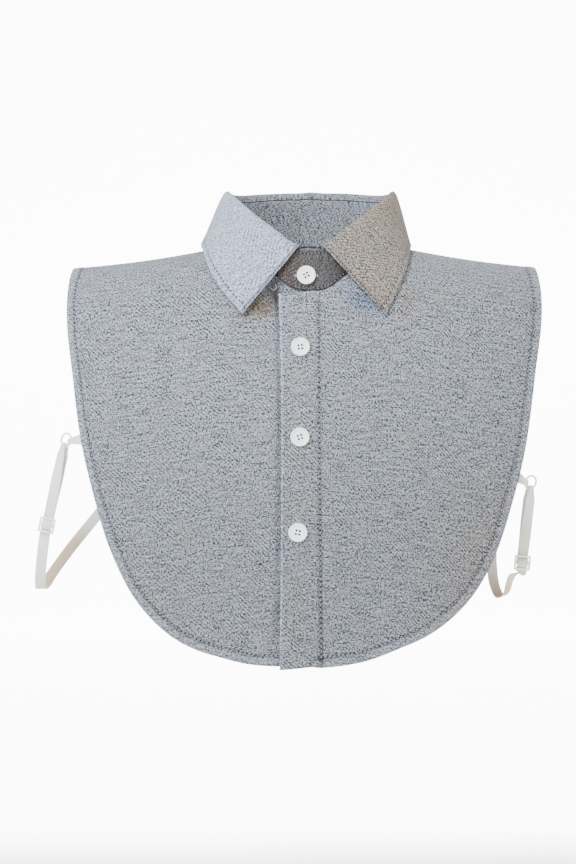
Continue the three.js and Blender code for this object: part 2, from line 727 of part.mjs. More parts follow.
function tabStops(route) {
  const { ring } = strapFrames(route);
  const rows = route.side === LEFT ? LEFT_OUTLINE : RIGHT_OUTLINE;
  const reach = outlineReach(rows, BIB_DROP, route.tabHeight);
  const toPanel = ring.across.clone().multiplyScalar(-route.side);
  const wire = RING_WIRE / 2 + STRAP_WALL / 2 + 1.5 * GAP;
  const through = Math.sqrt((RING_RADIUS - RING_WIRE / 2) ** 2 - (STRAP_GATHERED / 2) ** 2)
    - STRAP_WALL / 2 - 1.5 * GAP;
  const near = (along, out) => ({
    at: ring.origin.clone().addScaledVector(toPanel, along).addScaledVector(ring.forward, out),
    across: ring.up,
    width: STRAP_GATHERED,
  });
  const sewn = (share, layer) => {
    const depth = STRAP_WALL / 2 + route.tabSeat + layer * (STRAP_WALL + GAP);
    const x = reach - STRAP_SEWN_LENGTH * share;
    return sewnStop(route.side, x, route.tabHeight, FRONT, ring.up.toArray(), depth);
  };
  return [
    sewn(1, 0),
    sewn(0, 0),
    near(RING_RADIUS - 0.4, wire),
    near(through, 0),
    near(RING_RADIUS - 0.4, -wire),
    sewn(0, 1),
    sewn(1, 1),
  ];
}

function ringGeometry(route) {
  const { ring } = strapFrames(route);
  const frame = frameFrom(ring.origin, ring.across, ring.forward);
  return new THREE.TorusGeometry(RING_RADIUS, RING_WIRE / 2, 6, 16).applyMatrix4(frame);
}

function sliderGeometry(route) {
  const { slider } = strapFrames(route);
  const innerWidth = STRAP_WIDTH + 2 * SLIDER_SIDE_PLAY;
  const outerWidth = innerWidth + 2 * SLIDER_BAR;
  const outerHeight = 3 * SLIDER_BAR + 2 * SLIDER_OPENING;
  const shape = new THREE.Shape();
  const corner = 1;
  const x = outerWidth / 2 - corner;
  const y = outerHeight / 2 - corner;
  shape.absarc(x, y, corner, 0, Math.PI / 2);
  shape.absarc(-x, y, corner, Math.PI / 2, Math.PI);
  shape.absarc(-x, -y, corner, Math.PI, 1.5 * Math.PI);
  shape.absarc(x, -y, corner, 1.5 * Math.PI, 2 * Math.PI);
  for (const sign of [-1, 1]) {
    const low = sign > 0 ? SLIDER_BAR / 2 : -SLIDER_BAR / 2 - SLIDER_OPENING;
    const hole = new THREE.Path();
    hole.moveTo(-innerWidth / 2, low);
    hole.lineTo(innerWidth / 2, low);
    hole.lineTo(innerWidth / 2, low + SLIDER_OPENING);
    hole.lineTo(-innerWidth / 2, low + SLIDER_OPENING);
    hole.closePath();
    shape.holes.push(hole);
  }
  const body = new THREE.ExtrudeGeometry(shape, { depth: SLIDER_WALL, bevelEnabled: false, curveSegments: 4 });
  body.translate(0, 0, -SLIDER_WALL / 2);
  return body.applyMatrix4(frameFrom(slider.origin, slider.across, slider.forward));
}

// Materials
const cloth = new THREE.MeshStandardMaterial({ color: 0xa5aab2, roughness: 0.9, metalness: 0 });
const whitePlastic = new THREE.MeshStandardMaterial({ color: 0xf1f2f2, roughness: 0.35, metalness: 0 });
const elastic = new THREE.MeshStandardMaterial({ color: 0xebe7e0, roughness: 0.8, metalness: 0 });

// Assembly
const group = new THREE.Group();

function add(name, geometry, material) {
  const mesh = new THREE.Mesh(geometry, material);
  mesh.name = name;
  group.add(mesh);
  return mesh;
}

add('left_front', leftFront(), cloth);
add('right_front', rightFront(), cloth);
add('back_panel', backPanel(), cloth);
add('collar_stand', collarStand(), cloth);
add('collar_leaf', collarLeaf(), cloth);
add('stand_button', buttonDisc(0.5), whitePlastic).applyMatrix4(standButtonSeat());
for (const row of PLACKET_BUTTONS) {
  const seat = buttonSeat(placketButtonX(row), -row.down * BIB_DROP);
  add(row.name, buttonDisc(row.turn), whitePlastic).applyMatrix4(seat);
}
for (const [name, row] of Object.entries(STRAP_ROUTES)) {
  const route = placeRoute(row);
  add(`${name}_ring_tab`, ribbon(tabStops(route), 3), elastic);
  add(`${name}_ring`, ringGeometry(route), whitePlastic);
  add(`${name}_slider`, sliderGeometry(route), whitePlastic);
  add(`${name}_strap`, ribbon(strapStops(route), 2), elastic);
}

export default group;
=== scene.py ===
"""Looks of a detachable shirt collar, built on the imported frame."""

import json
import math

import bpy
import numpy as np
from mathutils import Matrix, Vector

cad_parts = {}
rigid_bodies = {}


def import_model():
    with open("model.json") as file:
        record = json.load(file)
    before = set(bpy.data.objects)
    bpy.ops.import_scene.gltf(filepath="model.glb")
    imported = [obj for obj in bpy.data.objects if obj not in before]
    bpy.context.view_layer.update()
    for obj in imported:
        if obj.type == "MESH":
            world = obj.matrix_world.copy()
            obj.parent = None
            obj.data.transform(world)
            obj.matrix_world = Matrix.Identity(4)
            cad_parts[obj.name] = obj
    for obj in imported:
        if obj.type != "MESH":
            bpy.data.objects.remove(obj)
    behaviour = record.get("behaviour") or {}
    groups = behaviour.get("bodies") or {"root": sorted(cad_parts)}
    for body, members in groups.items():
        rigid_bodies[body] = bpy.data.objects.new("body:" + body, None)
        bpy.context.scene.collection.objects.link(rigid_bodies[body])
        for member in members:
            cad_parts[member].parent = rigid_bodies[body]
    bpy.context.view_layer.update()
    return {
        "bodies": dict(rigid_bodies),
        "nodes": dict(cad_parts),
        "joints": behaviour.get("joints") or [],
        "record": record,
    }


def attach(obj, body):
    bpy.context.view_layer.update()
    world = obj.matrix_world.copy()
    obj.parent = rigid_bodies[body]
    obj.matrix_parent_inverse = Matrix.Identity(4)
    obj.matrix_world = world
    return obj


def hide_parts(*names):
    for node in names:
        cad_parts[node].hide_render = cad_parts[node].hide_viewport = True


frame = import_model()

bl_info = {
    "name": "Detachable collar looks",
    "version": (1, 0, 0),
    "blender": (4, 5, 0),
    "location": "3D View > Sidebar > Collar",
    "description": "Cloth, stitching, buttons and elastic straps of a detachable shirt collar",
    "category": "Object",
}

# Sizes in millimetres, as in the part's source: the wearer's form that the cloth lies on
CHEST_HALF_WIDTH = 190.0
CHEST_DEPTH = 50.0
CHEST_FADE = 120.0
BACK_DEPTH = 30.0
ROLL_DROP = 30.0
FRONT_ROLL_DEPTH = 50.0
BACK_ROLL_DEPTH = 52.0
SHOULDER_SLOPE = 0.142
SHOULDER_LEVEL = 68.5
SHOULDER_SAG = 1.6
RIDGE_Y = -2.0
THROAT_DIP = 5.0
NAPE_RISE = 21.0
NECK_RADIUS = 66.0
NECK_DEPTH_FRONT = 64.0
NECK_DEPTH_BACK = 57.0

# The cloth
PANEL_WALL = 1.2
PLACKET_WALL = 2.0
STAND_WALL = 1.6
LEAF_WALL = 1.6
GAP = 0.4
SEAM_GAP = 0.6
SHOULDER_HALF_WIDTH = 172.0
BIB_DROP = 304.0
BACK_DROP = 262.0
PLACKET_WIDTH = 27.4
PLACKET_EDGE_TOP = -23.4
PLACKET_EDGE_LEAN = 1.1
PLACKET_EDGE_BOW = 1.9
LAP_EASE = 30.0

# The collar
STAND_FRONT_HEIGHT = 28.7
STAND_SIDE_HEIGHT = 36.0
STAND_LEAN = 6.0
STAND_END_LAP = 18.0
LEAF_GAP_HALF = 8.4
FOLD_RADIUS = 2.0
FOLD_FRONT_RISE = 2.4
FOLD_SIDE_RISE = 4.4
LEAF_CLEARANCE = 1.2
LEAF_REACH = 80.5
LEAF_POINT_DROP = 88.5
LEAF_BACK_DROP = 69.0
LEAF_SWELL = 0.2

# Stitching: the hem's width, the stand's rows above its seam, and the leaf's rows in from its edges
HEM = 7.6
STAND_ROWS = (1.9, 26.4)
LEAF_ROW = 5.0
LEAF_FRONT_ROW = 1.4

# Buttons and straps
BUTTON_DIAMETER = 13.5
BUTTON_THICKNESS = 2.4
BUTTON_HOLE = 1.7
BUTTON_HOLE_SPREAD = 1.75
BUTTONHOLE_LENGTH = 15.0
BUTTONHOLE_SLIT = 0.5
STAND_BUTTON_X = -3.1
STAND_BUTTON_RISE = 10.3
STRAP_WIDTH = 8.0
STRAP_WALL = 0.9
STRAP_GATHERED = 3.8
RING_RADIUS = 5.0
RING_WIRE = 1.6
SLIDER_BAR = 1.5
SLIDER_SIDE_PLAY = 0.5
SLIDER_OPENING = 3.3
SLIDER_WALL = 1.6
STRAP_SEWN_LENGTH = 8.0
SEWN_CLEARANCE = 1.5

# Past this turn the stand's end lies under the other one, so it stays smooth
STAND_UNDER_TURN = 5.6

LAP = PLACKET_WALL + GAP
ROLL_RUN = math.pi / 2 * math.hypot(ROLL_DROP, FRONT_ROLL_DEPTH) / math.sqrt(2)
LEAF_START = math.asin(LEAF_GAP_HALF / NECK_RADIUS)
STAND_START = math.asin(PLACKET_EDGE_TOP / NECK_RADIUS)
STAND_END = 2 * math.pi + math.asin(STAND_END_LAP / NECK_RADIUS)
FRONT, BACK, LEFT, RIGHT = -1, 1, -1, 1
MM = 0.001

# Outlines as shares of the shoulder half width and the drop: out, down
LEFT_OUTLINE = [
    (1.027, 0.046), (1.046, 0.155), (1.017, 0.312), (0.980, 0.460), (0.924, 0.592),
    (0.843, 0.734), (0.721, 0.859), (0.535, 0.949), (0.291, 0.992), (-0.030, 0.998),
]
RIGHT_OUTLINE = [
    (0.972, 0.049), (0.992, 0.148), (0.959, 0.306), (0.916, 0.474), (0.860, 0.602),
    (0.776, 0.742), (0.657, 0.852), (0.477, 0.933), (0.262, 0.982), (0.036, 1.003),
]
BACK_OUTLINE = [
    (1.000, 0.050), (0.955, 0.180), (0.880, 0.370), (0.830, 0.560), (0.795, 0.700),
    (0.730, 0.830), (0.590, 0.935), (0.340, 0.988), (0.000, 1.000),
]
LEFT_LEAF_EDGE = [(0.609, 1.000), (0.826, 0.746), (0.945, 0.430), (1.000, 0.000)]
RIGHT_LEAF_EDGE = [(0.671, 1.000), (0.820, 0.700), (0.890, 0.395), (0.930, 0.000)]

# Placket buttons: name, across in button diameters from the placket's middle, down, turn
PLACKET_BUTTONS = [
    ("placket_button_1", 0.02, 0.251, 0.1),
    ("placket_button_2", -0.03, 0.463, 0.3),
    ("placket_button_3", -0.12, 0.686, -0.2),
]

# Strap routes. Ring and slider are laid off from the front's edge at the tab, and the fall's rows
# from points between there and the back's edge, each with its width direction
STRAP_ROUTES = {
    "left": {
        "side": LEFT, "ring": (-12.4, 11.1, -0.7), "ring_turn": -0.73, "slider": (-26.9, 13.6, -63.7),
        "tab_down": 0.4661, "tab_seat": 0.7, "back_down": 0.6718,
        "fall": [
            ((-30.4, 16.6, -84.3), (1, 0.1, 0.05)),
            ((-36.2, 9.0, -97.4), (1, 0.15, 0.05)),
            ((-40.2, 2.9, -100.9), (1, 0.1, 0)),
            ((-42.4, -1.1, -96.2), (1, 0, 0)),
            ((-41.3, -4.7, -82.7), (0.9, 0.05, -0.45)),
            ((-34.5, -6.3, -62.3), (0.85, 0.05, -0.5)),
            ((-25.3, -6.8, -40.4), (0.8, 0.1, -0.6)),
            ((-15.0, -10.4, -18.0), (0.75, 0.3, -0.6)),
        ],
    },
    "right": {
        "side": RIGHT, "ring": (9.5, 7.6, -3.7), "ring_turn": 0.56, "slider": (4.6, 20.1, -63.2),
        "tab_down": 0.5582, "tab_seat": 1.8, "back_down": 0.7481,
        "fall": [
            ((-0.8, 26.6, -71.6), (0.88, 0.45, 0.15)),
            ((-0.4, 19.2, -74.0), (0.72, 0.66, 0.2)),
            ((1.8, 12.0, -76.6), (0.66, 0.7, 0.28)),
            ((3.3, 6.3, -77.6), (0.75, 0.58, 0.3)),
            ((3.6, 0.9, -75.0), (0.92, 0.3, 0.2)),
            ((3.7, -4.6, -63.8), (1, 0.1, -0.1)),
            ((5.5, -9.9, -44.8), (1, 0, -0.1)),
            ((8.4, -16.2, -20.0), (0.95, -0.25, 0.1)),
        ],
    },
}


# Small helpers on numbers and arrays
def mix(a, b, t):
    return a + (b - a) * t


def smooth(value):
    t = np.clip(value, 0.0, 1.0)
    return t * t * (3.0 - 2.0 * t)


def unit(vectors):
    return vectors / np.maximum(np.linalg.norm(vectors, axis=-1, keepdims=True), 1e-12)


def stack(x, y, z):
    return np.stack(np.broadcast_arrays(x, y, z), axis=-1).astype(float)


# The wearer's form, worked out as in the part's source
def ridge_height(x, side):
    reach = np.abs(x)
    run = np.clip((reach - SHOULDER_LEVEL) / (SHOULDER_HALF_WIDTH - SHOULDER_LEVEL), 0, 1)
    slope = SHOULDER_SLOPE * (SHOULDER_LEVEL - reach) - SHOULDER_SAG * np.sin(math.pi * run)
    in_neck = np.maximum(0.0, 1 - (x / NECK_RADIUS) ** 2)
    bump = -THROAT_DIP * in_neck ** 1.5 if side == FRONT else NAPE_RISE * in_neck ** 1.3
    return slope + bump


def roll_at(run):
    turn = np.clip(run / ROLL_RUN, 0, 1) * math.pi / 2
    return turn, ROLL_DROP * (1 - np.cos(turn)) + np.maximum(0, run - ROLL_RUN)


def depth_at(x, run, side):
    turn, drop = roll_at(run)
    roll, swell = (FRONT_ROLL_DEPTH, CHEST_DEPTH) if side == FRONT else (BACK_ROLL_DEPTH, BACK_DEPTH)
    spread = np.sqrt(np.maximum(0.02, 1 - (x / CHEST_HALF_WIDTH) ** 2))
    return spread * (roll * np.sin(turn) + swell * (1 - np.exp(-drop / CHEST_FADE)))


def rest_point(x, run, side):
    return stack(x, RIDGE_Y + side * depth_at(x, run, side), ridge_height(x, side) - roll_at(run)[1])


def rest_normal(x, run, side):
    step = 0.25
    across = rest_point(x + step, run, side) - rest_point(x - step, run, side)
    down = rest_point(x, run + step, side) - rest_point(x, run, side)
    return unit(np.cross(across, down)) * side


def cloth_point(x, run, side, offset):
    x, run = np.asarray(x, float), np.asarray(run, float)
    return rest_point(x, run, side) + rest_normal(x, run, side) * np.asarray(offset, float)[..., None]


def run_at_height(x, z, side):
    drop = np.maximum(0, ridge_height(x, side) - z)
    rolled = ROLL_RUN * np.arccos(np.clip(1 - drop / ROLL_DROP, -1, 1)) / (math.pi / 2)
    return np.where(drop >= ROLL_DROP, ROLL_RUN + drop - ROLL_DROP, rolled)


def seam_x(turn):
    return NECK_RADIUS * np.sin(turn)


def seam_run(turn):
    turn = np.atleast_1d(np.asarray(turn, float))
    result = np.zeros_like(turn)
    for side, reach in ((FRONT, NECK_DEPTH_FRONT), (BACK, NECK_DEPTH_BACK)):
        mask = (np.cos(turn) >= 0) if side == FRONT else (np.cos(turn) < 0)
        x, wanted = seam_x(turn[mask]), reach * np.abs(np.cos(turn[mask]))
        low, high = np.zeros_like(x), np.full_like(x, 3 * ROLL_RUN)
        for _ in range(40):
            middle = (low + high) / 2
            under = depth_at(x, middle, side) < wanted
            low, high = np.where(under, middle, low), np.where(under, high, middle)
        result[mask] = low
    return result


def lap_at(x):
    return LAP * (1 - smooth((x - STAND_END_LAP - 1) / LAP_EASE))


def tuck_at(x):
    return LAP * (1 - smooth((PLACKET_EDGE_TOP - x) / LAP_EASE))


def spline(rows, t):
    """Points on a smooth curve through the rows, at shares t of its length in rows."""
    points = np.asarray(rows, float)
    t = np.atleast_1d(np.asarray(t, float))
    place = np.clip(t, 0, 1) * (len(points) - 1)
    whole = np.minimum(place.astype(int), len(points) - 1)
    w = (place - whole)[:, None]
    last = len(points) - 1
    p0, p1 = points[np.maximum(whole - 1, 0)], points[whole]
    p2, p3 = points[np.minimum(whole + 1, last)], points[np.minimum(whole + 2, last)]
    v0, v1 = (p2 - p0) / 2, (p3 - p1) / 2
    return ((2 * p1 - 2 * p2 + v0 + v1) * w ** 3 + (-3 * p1 + 3 * p2 - 2 * v0 - v1) * w ** 2
            + v0 * w + p1)


# Edges of the bib in the (x, run) plane of the cloth
def outline_rows(rows, drop, sign, side):
    across = [sign * out * SHOULDER_HALF_WIDTH for out, down in rows]
    runs = [float(run_at_height(x, -down * drop, side)) for x, (out, down) in zip(across, rows)]
    runs[0] = SEAM_GAP / 2
    return list(zip(across, runs))


def back_rows(sign):
    tip = (LEFT_OUTLINE if sign == LEFT else RIGHT_OUTLINE)[0][0]
    return [(out * tip, down) for out, down in BACK_OUTLINE]


def neck_line(from_turn, to_turn, shares):
    turns = mix(from_turn, to_turn, shares)
    return np.stack([seam_x(turns), seam_run(turns) + SEAM_GAP / 2], axis=-1)


def coons(neck, outline, u, v):
    """A patch of (x, run) between a neck line and an outline, with straight sides."""
    across, down = u[None, :, None], v[:, None, None]
    ruled = neck[None] * (1 - down) + outline[None] * down
    sides = [neck[i] * (1 - v[:, None]) + outline[i] * v[:, None] for i in (0, -1)]
    crossed = sides[0][:, None] * (1 - across) + sides[1][:, None] * across
    corners = (neck[0] * (1 - across) + neck[-1] * across) * (1 - down)
    corners = corners + (outline[0] * (1 - across) + outline[-1] * across) * down
    return ruled + crossed - corners


def bib_patch(rows, drop, sign, side, end_turn, u, v):
    neck = neck_line(sign * math.pi / 2, end_turn, u)
    outline = spline(outline_rows(rows, drop, sign, side), u)
    return coons(neck, outline, u, v)


def edged_shares(length, pitch, wall):
    """Shares along a length, with lines close to both ends so that the wall closes round there."""
    near = wall * np.array([0, 0.1, 0.28, 0.55]) / length
    count = max(2, round(length / pitch))
    middle = np.linspace(wall / length, 1 - wall / length, count)
    return np.concatenate([near, middle, 1 - near[::-1]])


def closing(distance, wall):
    """Share of the wall's thickness left at a distance from its rounded edge."""
    inside = 1 - np.clip(distance / (0.6 * wall), 0, 1)
    return np.sqrt(np.maximum(1 - inside ** 2, 0.09))


def ripple(value, wavelength, seed):
    """A smooth uneven wave between about -1 and 1."""
    phase = 2 * math.pi * np.asarray(value, float) / wavelength
    waves = [(1.0, 0.5), (1.618, 0.3), (0.587, 0.35), (2.71, 0.15)]
    return sum(size * np.sin(rate * phase + seed * (3.1 + 1.7 * rate)) for rate, size in waves)


def bell(value, width):
    return np.exp(-(value / width) ** 2)


def lengths_along(points):
    steps = np.linalg.norm(np.diff(points, axis=0), axis=-1)
    return np.concatenate([[0], np.cumsum(steps)])


def nearest_on(points, line):
    """For each point, its distance to a line of samples and the length along the line there."""
    flat = points.reshape(-1, 3)
    along = lengths_along(line)
    away, place = np.empty(len(flat)), np.empty(len(flat))
    for start in range(0, len(flat), 4000):
        part = flat[start:start + 4000]
        gaps = np.linalg.norm(part[:, None] - line[None], axis=-1)
        best = gaps.argmin(axis=1)
        away[start:start + 4000] = gaps[np.arange(len(part)), best]
        place[start:start + 4000] = along[best]
    return away.reshape(points.shape[:-1]), place.reshape(points.shape[:-1])


# Meshes
def link(name, mesh):
    obj = bpy.data.objects.new(name, mesh)
    bpy.context.collection.objects.link(obj)
    return obj


def mesh_object(name, points, faces, uv=None, fields=None, smooth_shaded=True):
    """An object from points in millimetres, faces, and values given per point."""
    mesh = bpy.data.meshes.new(name)
    mesh.from_pydata((np.asarray(points) * MM).tolist(), [], faces)
    corners = np.empty(len(mesh.loops), dtype=np.int32)
    mesh.loops.foreach_get("vertex_index", corners)
    if uv is not None:
        layer = mesh.uv_layers.new(name="cloth")
        layer.data.foreach_set("uv", (np.asarray(uv) * MM)[corners].astype(np.float32).ravel())
    for label, values in (fields or {}).items():
        field = mesh.attributes.new(label, "FLOAT", "POINT")
        field.data.foreach_set("value", np.asarray(values, dtype=np.float32).ravel())
    mesh.polygons.foreach_set("use_smooth", [smooth_shaded] * len(mesh.polygons))
    mesh.update()
    return link(name, mesh)


def grid_faces(rows, columns, start=0, closed=False):
    """Quads of a grid of points; a closed grid joins its last column to its first."""
    i, j = np.meshgrid(np.arange(rows - 1), np.arange(columns if closed else columns - 1), indexing="ij")
    after = (j + 1) % columns
    quads = [i * columns + j, (i + 1) * columns + j, (i + 1) * columns + after, i * columns + after]
    return np.stack(quads, axis=-1).reshape(-1, 4) + start


def wall_object(name, inner, outer, uv, fields=None):
    """A closed cloth wall between two grids of points, with fields given per point or per face and point."""
    rows, columns = outer.shape[:2]
    count = rows * columns
    loop = np.concatenate([
        np.arange(columns),
        np.arange(1, rows) * columns + columns - 1,
        (rows - 1) * columns + np.arange(columns - 2, -1, -1),
        np.arange(rows - 2, 0, -1) * columns,
    ])
    after = np.roll(loop, -1)
    rim = np.stack([loop + count, after + count, after, loop], axis=-1)
    inside = grid_faces(rows, columns)[:, ::-1]
    faces = np.concatenate([grid_faces(rows, columns, count), inside, rim[:, ::-1]])
    points = np.concatenate([inner.reshape(-1, 3), outer.reshape(-1, 3)])
    triangles = np.concatenate([faces[:, [0, 1, 2]], faces[:, [0, 2, 3]]])
    a, b, c = (points[triangles[:, k]] for k in range(3))
    if np.einsum("ij,ij->", a, np.cross(b, c)) < 0:
        faces = faces[:, ::-1]
    both = {label: np.broadcast_to(values, (2, rows, columns)) for label, values in (fields or {}).items()}
    return mesh_object(name, points, faces.tolist(), np.tile(uv.reshape(-1, 2), (2, 1)), both)


def grid_uv(points):
    """Lengths across and down a grid of points, so that the weave keeps its scale."""
    across = np.linalg.norm(np.diff(points, axis=1), axis=-1)
    down = np.linalg.norm(np.diff(points, axis=0), axis=-1)
    u = np.concatenate([np.zeros((len(points), 1)), np.cumsum(across, axis=1)], axis=1)
    v = np.concatenate([np.zeros((1, points.shape[1])), np.cumsum(down, axis=0)], axis=0)
    return np.stack([u, -v], axis=-1)


def cloth_uv(x, run):
    """Places in the weave on a panel of the bib, with the grain upright."""
    return np.stack([x, -run], axis=-1)


class Panel:
    """One panel of the bib: its edges, its relief and points on its outer face."""

    def __init__(self, rows, drop, sign, side, end_turn, hem=HEM):
        self.rows, self.drop, self.sign, self.side = rows, drop, sign, side
        self.end_turn, self.hem = end_turn, hem
        shares = np.linspace(0, 1, 420)
        self.edge = spline(outline_rows(rows, drop, sign, side), shares)
        self.edge_points = rest_point(self.edge[:, 0], self.edge[:, 1], side)

    def lap(self, x):
        return lap_at(x) if self.side == FRONT and self.sign == RIGHT else 0 * np.asarray(x, float)

    def from_edge(self, x, run):
        return nearest_on(rest_point(x, run, self.side), self.edge_points)[0]

    def relief(self, x, run):
        """Puckers along the hem, and the soft unevenness of worn cloth."""
        away, along = nearest_on(rest_point(x, run, self.side), self.edge_points)
        row = bell(away - self.hem, 1.5)
        pucker = 0.20 * ripple(along, 11, 1 + self.sign) * bell(away - self.hem, 5)
        pucker += 0.10 * ripple(along, 5.3, 2 + self.sign) * bell(away - self.hem + 3, 3)
        band = 0.30 * (1 - smooth((away - self.hem + 0.8) / 1.6))
        return pucker - 0.28 * row + band

    def outer(self, x, run):
        return self.lap(x) + PANEL_WALL + self.relief(x, run)

    def face(self, x, run, lift=0.0):
        return cloth_point(x, run, self.side, self.outer(x, run) + lift)

    def inset(self, distance, start=0.0, end=1.0, count=420):
        """(x, run) points along the outline, moved in over the cloth by a distance."""
        xy = spline(outline_rows(self.rows, self.drop, self.sign, self.side), np.linspace(start, end, count))
        x, run = xy[:, 0], xy[:, 1]
        step = 0.5
        by_x = (rest_point(x + step, run, self.side) - rest_point(x - step, run, self.side)) / (2 * step)
        by_run = (rest_point(x, run + step, self.side) - rest_point(x, run - step, self.side)) / (2 * step)
        points = rest_point(x, run, self.side)
        tangent = unit(np.gradient(points, axis=0))
        inward = np.cross(rest_normal(x, run, self.side), tangent)
        centre = rest_point(np.zeros(1), np.full(1, 150.0), self.side)
        inward *= np.sign(np.einsum("ij,ij->i", inward, centre - points))[:, None]
        xx = np.einsum("ij,ij->i", by_x, by_x)
        xr = np.einsum("ij,ij->i", by_x, by_run)
        rr = np.einsum("ij,ij->i", by_run, by_run)
        bx = np.einsum("ij,ij->i", by_x, inward)
        br = np.einsum("ij,ij->i", by_run, inward)
        scale = distance / (xx * rr - xr ** 2)
        return np.stack([x + scale * (bx * rr - br * xr), run + scale * (br * xx - bx * xr)], axis=-1)


def seam_turn(x):
    return math.asin(x / NECK_RADIUS)


PLACKET_STITCH_X = PLACKET_EDGE_TOP + PLACKET_WIDTH
LEFT_PANEL = Panel(LEFT_OUTLINE, BIB_DROP, LEFT, FRONT, seam_turn(PLACKET_STITCH_X))
RIGHT_PANEL = Panel(RIGHT_OUTLINE, BIB_DROP, RIGHT, FRONT, seam_turn(PLACKET_STITCH_X))
BACK_PANELS = [Panel(back_rows(sign), BACK_DROP, sign, BACK, math.pi * sign) for sign in (LEFT, RIGHT)]


def left_front_grid(pitch):
    u, v = edged_shares(190, pitch, PANEL_WALL), edged_shares(300, pitch, PANEL_WALL)
    panel = LEFT_PANEL
    place = bib_patch(panel.rows, BIB_DROP, LEFT, FRONT, panel.end_turn, u, v)
    x, run = place[..., 0], place[..., 1]
    edge = np.minimum(np.minimum(u, 1 - u)[None] * 190, np.minimum(v, 1 - v)[:, None] * 300)
    outer = panel.outer(x, run)
    middle, half = (outer + 0.05) / 2, (outer - 0.05) / 2 * closing(edge, PANEL_WALL)
    return x, run, middle - half, middle + half


def placket_free_edge(v):
    bow = np.sin(math.pi * np.clip(v, 0, 1) ** 0.7)
    return PLACKET_EDGE_TOP + PLACKET_EDGE_LEAN * v + PLACKET_EDGE_BOW * bow


def placket_relief(x, run, v):
    """The folded placket: a rounded free edge, a soft swell and the pulled-in stitch line."""
    free = placket_free_edge(v)
    middle = 0.22 * ripple(run, 37, 2) * bell(x - free - 9, 6)
    middle += 0.14 * ripple(run, 19, 5) * bell(x - free - 3, 3)
    pull = -0.42 * bell(x - PLACKET_STITCH_X - 1.2 - 2 * v, 1.3)
    swell = 0.28 * bell(x - free - 13, 8)
    return middle + pull + swell


def right_front_grid(pitch):
    patch_u, v = edged_shares(168, pitch, PANEL_WALL), edged_shares(300, pitch, PANEL_WALL)
    patch_u = patch_u[:-3]
    panel = RIGHT_PANEL
    place = bib_patch(panel.rows, BIB_DROP, RIGHT, FRONT, panel.end_turn, np.append(patch_u, 1.0), v)
    strip = edged_shares(PLACKET_WIDTH, pitch * 0.7, PLACKET_WALL)
    strip = strip[4:]
    free = placket_free_edge(v)[:, None]
    stitch = place[:, -1:]
    strip_x = mix(stitch[..., 0], free, strip[None])
    strip_run = np.repeat(stitch[..., 1], len(strip), axis=1)
    x = np.concatenate([place[:, :-1, 0], strip_x], axis=1)
    run = np.concatenate([place[:, :-1, 1], strip_run], axis=1)
    from_sides = np.concatenate([patch_u * 168, (1 - strip) * PLACKET_WIDTH])
    edge = np.minimum(from_sides[None], np.minimum(v, 1 - v)[:, None] * 300)
    wall = mix(PANEL_WALL, PLACKET_WALL, smooth((PLACKET_STITCH_X + 2 * v[:, None] - x) / 2.5))
    relief = placket_relief(x, run, v[:, None]) * smooth(edge / 2)
    outer = panel.outer(x, run) + relief
    inner = panel.lap(x) + PANEL_WALL - wall
    middle, half = (outer + inner) / 2, (outer - inner) / 2 * closing(edge, wall)
    return x, run, middle - half, middle + half


def back_grid(pitch):
    u, v = edged_shares(190, pitch, PANEL_WALL), edged_shares(265, pitch, PANEL_WALL)
    u = u[:-3]
    u[-1] = 1.0
    halves = []
    for panel in BACK_PANELS:
        place = bib_patch(panel.rows, BACK_DROP, panel.sign, BACK, panel.end_turn, u, v)
        x, run = place[..., 0], place[..., 1]
        halves.append((x, run, panel.outer(x, run)))
    x, run, outer = (np.concatenate([a, b[:, -2::-1]], axis=1) for a, b in zip(*halves))
    across = np.concatenate([u * 190, u[-2::-1] * 190])
    edge = np.minimum(across[None], np.minimum(v, 1 - v)[:, None] * 265)
    middle, half = (outer + 0.05) / 2, (outer - 0.05) / 2 * closing(edge, PANEL_WALL)
    return x, run, middle - half, middle + half


# The collar stand and leaf
def shoulder_share(turn):
    folded = np.arccos(np.cos(turn))
    return smooth(np.clip(folded / (math.pi / 2), 0, 1) ** 1.15)


def stand_height(turn):
    return mix(STAND_FRONT_HEIGHT, STAND_SIDE_HEIGHT, shoulder_share(turn))


def outward(turn):
    return stack(np.sin(turn), -np.cos(turn), 0 * turn)


def stand_base(turn):
    turn = np.atleast_1d(np.asarray(turn, float))
    x, run = seam_x(turn), seam_run(turn)
    base, normal = np.empty(turn.shape + (3,)), np.empty(turn.shape + (3,))
    for side, mask in ((FRONT, np.cos(turn) >= 0), (BACK, np.cos(turn) < 0)):
        base[mask] = rest_point(x[mask], run[mask], side)
        normal[mask] = rest_normal(x[mask], run[mask], side)
    lap = np.where(turn > math.pi / 2, 0, lap_at(x))
    base += normal * (PANEL_WALL / 2 + lap)[:, None]
    base[:, 2] += SEAM_GAP / 2 + PANEL_WALL / 2 * np.maximum(0, normal[:, 2])
    return base


def stand_point(turn, rise):
    """Points on the stand's middle; turn and rise are arrays of one length."""
    turn, rise = np.broadcast_arrays(np.asarray(turn, float), np.asarray(rise, float))
    point = stand_base(turn) + outward(turn) * (-STAND_LEAN * rise / STAND_SIDE_HEIGHT)[:, None]
    point[:, 2] += rise
    return point


def stand_middle(turns, levels):
    base, out = stand_base(turns), outward(turns)
    rise = stand_height(turns)[:, None] * levels[None]
    points = base[:, None] - out[:, None] * (STAND_LEAN * rise / STAND_SIDE_HEIGHT)[..., None]
    points[..., 2] += rise
    return points


